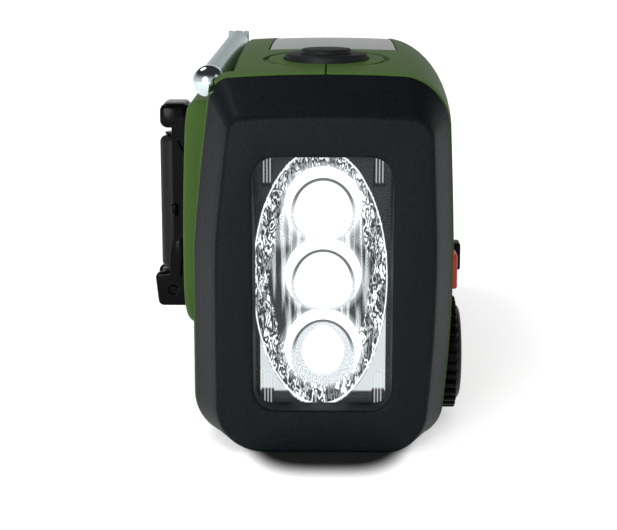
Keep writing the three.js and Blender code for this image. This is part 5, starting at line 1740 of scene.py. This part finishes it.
def make_crank_arm(kit):
    sizes, crank = kit.sizes, kit.sizes.crank
    place, hub = sizes.crank_place, crank.hub_height
    start, end = place - crank.arm_half_width, place + crank.arm_half_width
    low, high = hub - crank.lug_half_height, hub + crank.lug_half_height
    points = lug_points(crank, crank.reach, low, high, crank.lug_round)
    arm = prism("crank_arm_look", points, start, end, edge=1.1)
    # The fork's corners, how far the fin stands out of the rail and is in it, the radii of the
    # boss and the rib, and how far the shaft's bore goes past the screw's seat
    fork_round, fin_out, fin_in, boss, rib, bore_past = 1.4, 0.7, 0.5, 0.9, 0.4, 5.0
    bottom, top = crank.fork_bottom, crank.fork_top
    points = lug_points(crank, crank.fork_reach, bottom, top, fork_round, crank.fork_taper)
    fork = prism("fork", points, start, end, edge=0.6)
    slot = box(
        "slot",
        (-FAR, place - crank.fork_slot, bottom - OVERLAP),
        (-crank.arm_side - crank.fork_web, place + crank.fork_slot, top + OVERLAP),
    )
    combine(fork, cutting(slot))
    added = [fork]
    for side in (start, end - crank.rail):
        added.append(prism("rail", rail_points(crank), side, side + crank.rail, edge=0.3))
    added.append(prism("fin", ARM_FIN, start - fin_out, start + fin_in, edge=0.25))
    added.append(arm_rib(ARM_BOSS, boss, start))
    added.append(arm_rib(ARM_RIB, rib, start))
    centre, pin = (0.0, place, hub), (-crank.grip_side, 0.0, crank.fork_pivot)
    seat = crank.screw_height - crank.reach
    bore_end = seat + bore_past
    pin_start, pin_end = start - OVERLAP, end + OVERLAP
    cuts = cutting(
        rod("bore", crank.shaft_radius + GAP, -FAR, bore_end, centre, "X", sides=48),
        rod("seat", crank.screw_radius + GAP, -FAR, seat, centre, "X", sides=48),
        rod("pin", crank.pin_radius + GAP, pin_start, pin_end, pin, "Y", sides=32),
    )
    steps = [("UNION", piece) for piece in added] + cuts
    combine(arm, steps)
    painted(arm, kit.paint.crank_black)
    return placed(smooth(arm), "crank", "crank_black", "crank_arm")


def make_crank_grip(kit):
    sizes, crank = kit.sizes, kit.sizes.crank
    place = (-crank.grip_side, sizes.crank_place, 0.0)
    bottom, top, radius = crank.grip_bottom, crank.grip_top, crank.grip_radius
    profile = rounded_rod(radius, bottom, top, edge=1.5, steps=8)
    grip = turned("crank_grip_look", profile, place, "Z", 64, kit.paint.grip_black)
    past_bottom, past_top = bottom - OVERLAP, top + OVERLAP
    bore = rod("bore", crank.spindle_radius + GAP, past_bottom, past_top, place, sides=32)
    combine(grip, cutting(bore))
    return placed(smooth(grip), "grip", "grip_black", "crank_grip")


# Controls


def moved(made, x, y, z):
    """Moves a piece's mesh by millimetres"""
    for vertex in made.data.vertices:
        vertex.co += Vector((x * MM, y * MM, z * MM))
    return made


def make_knob(kit, node, body, place):
    """A ribbed knob: a turned core and a ring of ribs repeated by Geometry Nodes"""
    control, black = kit.sizes.control, kit.paint.control_black
    core_radius = control.knob_radius - control.rib_depth
    inner, outer, edge = control.knob_inner, control.knob_outer, control.knob_round
    # The rim round the dished face, the slope to the dish, and how deep the dish is
    rim, slope, dish = 0.6, 0.4, 0.35
    # How far the ribs are in the core, where they stop on its rounding, and their own rounding
    rib_root, rib_stop, rib_edge = 0.8, 0.45, 0.4
    inside = core_radius - edge - rim
    profile = [(0.0, inner), (core_radius, inner), *rounded_edge(core_radius, outer, edge, 8)]
    profile += [(inside, outer), (inside - slope, outer - dish), (0.0, outer - dish)]
    middle = (0.0, 0.0, 0.0)
    core = turned(node + "_core", profile, middle, "X", 128, black)
    floor = inner + control.knob_floor
    combine(core, cutting(rod("bore", control.shaft_radius + GAP, 0.0, floor, middle, "X", sides=48)))
    half = math.pi * control.knob_radius / control.ribs / 2
    low = (inner, -half, core_radius - rib_root)
    high = (outer - edge * rib_stop, half, control.knob_radius)
    rib = box(node + "_rib", low, high, rib_edge, black)
    repeated(rib, kit.round_array, control.ribs, 2 * math.pi / control.ribs, black)
    knob = joined(node + "_look", [core, rib])
    moved(knob, 0.0, place, control.knob_height)
    return placed(smooth(knob), body, "control_black", node)


def make_key(kit, node, body, slot, material, y, z, half_length, half_height, reach, edge):
    """A key with its flange behind the shell"""
    control = kit.sizes.control
    low, _ = in_mm(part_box(node))
    rim = control.key_flange
    inside, buried = low[0] + rim, 0.4
    cap = side_plate(node + "_look", inside - buried, reach, y, z, half_length, half_height, edge)
    flange = side_plate("flange", low[0], inside, y, z, half_length + rim, half_height + rim)
    combine(cap, [("UNION", flange)])
    painted(cap, material)
    return placed(smooth(cap), body, slot, node)


def make_grille(kit):
    """A round grille: level bars repeated by Geometry Nodes inside a rim"""
    sizes, control = kit.sizes, kit.sizes.control
    place = (0.0, sizes.back - control.speaker_from_tail, control.speaker_height)
    inner, outer = control.side - control.grille_thickness, control.side
    hollow = control.grille_radius - control.rim
    pitch = 2 * hollow / control.slots
    bar_half = (pitch - control.slot_width) / 2
    wide = hollow + SHORT_OVERLAP
    bar = box("bar", (inner, -wide, -hollow - bar_half), (outer, wide, -hollow + bar_half), edge=0.3)
    black = kit.paint.control_black
    repeated(bar, kit.rising_array, control.slots + 1, pitch * MM, black)
    moved(bar, 0.0, place[1], place[2])
    # How far the bars reach into the rim, and the chamfers on the rim's outer and inner edge
    bar_root, chamfer, inner_chamfer = 0.6, 0.4, 0.3
    start, end = inner - SHORT_OVERLAP, outer + SHORT_OVERLAP
    disc = rod("disc", hollow + bar_root, start, end, place, "X", sides=128)
    combine(bar, [("INTERSECT", disc)])
    wide = control.grille_radius
    profile = [(wide, inner), (wide, outer - chamfer), (wide - chamfer, outer)]
    profile += [(hollow + inner_chamfer, outer), (hollow, outer - inner_chamfer), (hollow, inner)]
    rim = turned("rim", profile, place, "X", 128, black)
    combine(rim, cutting(rod("hole", hollow, start, end, place, "X", sides=128)))
    grille = joined("speaker_grille_look", [rim, bar])
    return placed(smooth(grille), "root", "control_black", "speaker_grille")


def make_display(kit):
    window = box("display_window_look", *in_mm(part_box("display_window")), 0.3, kit.paint.clear)
    placed(smooth(window), "root", "clear", "display_window")
    low, high = in_mm(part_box("display_module"))
    glass = box("display_module_look", low, high, 0.2, kit.paint.control_black)
    # Only the faces at the very front that look outwards are the screen
    front, facing = high[0] - 0.3, 0.9
    screen = sorted_faces(
        glass,
        kit.paint.display,
        lambda centre, normal: normal.x > facing and centre.x > front,
    )
    placed(smooth(screen), "root", "display", "display_module")


def make_port_flap(kit):
    low, high = in_mm(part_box("port_flap"))
    flap = box("port_flap_look", low, high, 0.7, kit.paint.rubber_black, segments=4)
    # The lip to open it by: half its width, its depth in the flap, and its top and foot
    half, depth, top, foot = 5.0, 0.4, 1.2, 2.2
    middle = (low[0] + high[0]) / 2
    near, far = (middle - half, high[1] - depth, high[2] - foot), (middle + half, high[1], high[2] - top)
    lip = box("lip", near, far, edge=0.15)
    combine(flap, [("UNION", lip)])
    painted(flap, kit.paint.rubber_black)
    return placed(smooth(flap), "flap", "rubber_black", "port_flap")


def make_base_pad(kit):
    pad = box("base_pad_look", *in_mm(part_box("base_pad")), 0.35, kit.paint.rubber_black)
    return placed(smooth(pad), "root", "rubber_black", "base_pad")


KEPT = {
    "steel": (
        "antenna_pin",
        "crank_shaft",
        "idler_axle",
        "generator",
        "generator_shaft",
        "tuner",
        "volume_control",
        "band_switch",
        "usb_socket",
        "charge_socket",
    ),
    "dark_steel": (
        "hub_screw",
        "shell_screw_1",
        "shell_screw_2",
        "shell_screw_3",
        "shell_screw_4",
    ),
    "brass": ("generator_pinion",),
    "board": ("lamp_board", "top_board", "main_board", "port_board"),
    "gear_white": ("drive_gear", "idler_gear", "gear_plate", "display_carrier"),
    "crank_black": ("grip_root", "fork_pin"),
    "control_black": ("lamp_switch", "alarm_switch"),
    "speaker_cone": ("speaker",),
    "battery_wrap": ("battery",),
}


def paint_kept(kit):
    """Paints and smooths the CAD pieces that are shown as they are"""
    for slot, nodes in KEPT.items():
        for node in nodes:
            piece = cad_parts[node]
            piece.data.materials.clear()
            piece.data.materials.append(getattr(kit.paint, slot))
            smooth(piece)


# Stage


# Levels of light by height: from low to high, and the level at each
BACKDROP = (0.05, 0.6, 1.0, 0.04)
ROOM = (-0.2, 0.8, 0.3, 0.95)
# Place and target in metres, diameter and power
LIGHTS = {
    "key": ((-0.35, -0.95, 0.22), (0.0, 0.0, 0.04), 0.45, 6.9),
    "fill": ((0.7, -0.55, 0.45), (0.0, 0.0, 0.04), 0.5, 0.4),
    "top": ((-0.45, 0.15, 0.9), (0.0, 0.0, 0.05), 0.4, 2.2),
}
FLOOR_REACH = 3.0
NEAR_CLIP = 0.01


def make_world():
    """White to look at up to a dark ceiling, and a plain soft level as light"""
    world = bpy.data.worlds.new("studio")
    bpy.context.scene.world = world
    world.use_nodes = True
    tree = world.node_tree
    nodes, links = tree.nodes, tree.links
    nodes.clear()
    output = nodes.new("ShaderNodeOutputWorld")
    sky = nodes.new("ShaderNodeBackground")
    links.new(sky.outputs["Background"], output.inputs["Surface"])
    place = nodes.new("ShaderNodeTexCoord")
    parts = nodes.new("ShaderNodeSeparateXYZ")
    links.new(place.outputs["Generated"], parts.inputs["Vector"])
    backdrop = ramp_node(tree, parts.outputs["Z"], *BACKDROP)
    room = ramp_node(tree, parts.outputs["Z"], *ROOM)
    seen = seen_rays(tree)
    shown = math_node(tree, "MULTIPLY", seen, backdrop)
    lit = math_node(tree, "MULTIPLY", math_node(tree, "SUBTRACT", 1.0, seen), room)
    links.new(math_node(tree, "ADD", shown, lit), sky.inputs["Strength"])


def make_light(name, place, target, size, power):
    light = bpy.data.lights.new(name, "AREA")
    light.shape = "DISK"
    light.size = size
    light.energy = power
    lamp = linked(name, light)
    lamp.location = place
    aim = Vector(target) - Vector(place)
    lamp.rotation_euler = aim.to_track_quat("-Z", "Y").to_euler()


def make_stage(kit):
    shot = kit.sizes.shot
    half = FLOOR_REACH / MM
    white = studio_floor(
        "studio_floor", seen=0.9, lighting=0.6, glow=0.45, half_width=20.5, half_length=97.2
    )
    corners = [(-half, -half, 0.0), (half, -half, 0.0), (half, half, 0.0), (-half, half, 0.0)]
    floor = mesh_object("floor", corners, [(0, 1, 2, 3)], white)
    make_world()
    for name, settings in LIGHTS.items():
        make_light(name, *settings)
    data = bpy.data.cameras.new("camera")
    data.lens = shot.focal
    data.sensor_width = shot.sensor
    data.clip_start = NEAR_CLIP
    camera = linked("camera", data)
    camera.location = [value * MM for value in shot.place]
    camera.rotation_euler = (math.radians(90 - shot.tilt), 0.0, math.radians(shot.yaw))
    bpy.context.scene.camera = camera
    bpy.context.scene.view_settings.view_transform = "Standard"


# Operators


class RADIO_OT_shells(bpy.types.Operator):
    """Build the two green shells and the base pad"""

    bl_idname = "radio.shells"
    bl_label = "Shells"

    def execute(self, context):
        kit = shared()
        make_front_shell(kit)
        make_rear_shell(kit)
        make_base_pad(kit)
        return {"FINISHED"}


class RADIO_OT_lamp(bpy.types.Operator):
    """Build the bezel, the window, the reflector and the bulbs"""

    bl_idname = "radio.lamp"
    bl_label = "Lamp"

    def execute(self, context):
        kit = shared()
        make_lamp_bezel(kit)
        make_lamp_lens(kit)
        make_reflector(kit)
        make_bulbs(kit)
        return {"FINISHED"}


class RADIO_OT_top(bpy.types.Operator):
    """Build the lamp button and the solar panel"""

    bl_idname = "radio.top"
    bl_label = "Top"

    def execute(self, context):
        kit = shared()
        make_lamp_button(kit)
        make_solar_panel(kit)
        return {"FINISHED"}


class RADIO_OT_antenna(bpy.types.Operator):
    """Build the telescopic antenna"""

    bl_idname = "radio.antenna"
    bl_label = "Antenna"

    def execute(self, context):
        make_antenna(shared())
        return {"FINISHED"}


class RADIO_OT_crank(bpy.types.Operator):
    """Build the crank arm and its grip"""

    bl_idname = "radio.crank"
    bl_label = "Crank"

    def execute(self, context):
        kit = shared()
        make_crank_arm(kit)
        make_crank_grip(kit)
        return {"FINISHED"}


class RADIO_OT_controls(bpy.types.Operator):
    """Build the knobs, the keys, the display and the grille"""

    bl_idname = "radio.controls"
    bl_label = "Controls"

    def execute(self, context):
        kit = shared()
        sizes, control, paint = kit.sizes, kit.sizes.control, kit.paint
        make_knob(kit, "tuning_knob", "tuning", sizes.knobs[0])
        make_knob(kit, "volume_knob", "volume", sizes.knobs[1])
        make_key(
            kit,
            "alarm_button",
            "alarm_key",
            "alarm_red",
            paint.alarm_red,
            sizes.front + control.alarm_from_face,
            control.alarm_height,
            control.alarm_half_length,
            control.alarm_half_height,
            control.alarm_reach,
            0.6,
        )
        make_key(
            kit,
            "band_slider",
            "band_key",
            "control_black",
            paint.control_black,
            sizes.front + control.band_from_face,
            control.band_height,
            control.band_half_length,
            control.band_half_height,
            control.band_reach,
            0.5,
        )
        make_display(kit)
        make_grille(kit)
        return {"FINISHED"}


class RADIO_OT_tail(bpy.types.Operator):
    """Build the tail cap and its port flap"""

    bl_idname = "radio.tail"
    bl_label = "Tail"

    def execute(self, context):
        kit = shared()
        make_tail_cap(kit)
        make_port_flap(kit)
        return {"FINISHED"}


class RADIO_OT_paint(bpy.types.Operator):
    """Paint the CAD pieces that are shown as they are"""

    bl_idname = "radio.paint"
    bl_label = "Paint"

    def execute(self, context):
        paint_kept(shared())
        return {"FINISHED"}


class RADIO_OT_stage(bpy.types.Operator):
    """Build the white studio, its lights and the camera"""

    bl_idname = "radio.stage"
    bl_label = "Stage"

    def execute(self, context):
        make_stage(shared())
        return {"FINISHED"}


OPERATORS = (
    RADIO_OT_shells,
    RADIO_OT_lamp,
    RADIO_OT_top,
    RADIO_OT_antenna,
    RADIO_OT_crank,
    RADIO_OT_controls,
    RADIO_OT_tail,
    RADIO_OT_paint,
    RADIO_OT_stage,
)


class RADIO_PT_panel(bpy.types.Panel):
    bl_idname = "RADIO_PT_panel"
    bl_label = "Hand-Cranked Radio"
    bl_space_type = "VIEW_3D"
    bl_region_type = "UI"
    bl_category = "Radio"

    def draw(self, context):
        for operator in OPERATORS:
            self.layout.operator(operator.bl_idname)


CLASSES = (*SIZE_GROUPS.values(), *OPERATORS, RADIO_PT_panel)


def register():
    """Labels every size by its own name and registers the add-on"""
    for group in SIZE_GROUPS.values():
        for name, size in group.__annotations__.items():
            size.keywords["name"] = name.replace("_", " ").capitalize()
    for item in CLASSES:
        bpy.utils.register_class(item)
    for name, group in SIZE_GROUPS.items():
        setattr(bpy.types.Scene, name, PointerProperty(type=group))


def unregister():
    for name in SIZE_GROUPS:
        delattr(bpy.types.Scene, name)
    for item in reversed(CLASSES):
        bpy.utils.unregister_class(item)


def main():
    register()
    bpy.ops.radio.shells()
    bpy.ops.radio.lamp()
    bpy.ops.radio.top()
    bpy.ops.radio.antenna()
    bpy.ops.radio.crank()
    bpy.ops.radio.controls()
    bpy.ops.radio.tail()
    bpy.ops.radio.paint()
    bpy.ops.radio.stage()


if __name__ == "__main__":
    main()
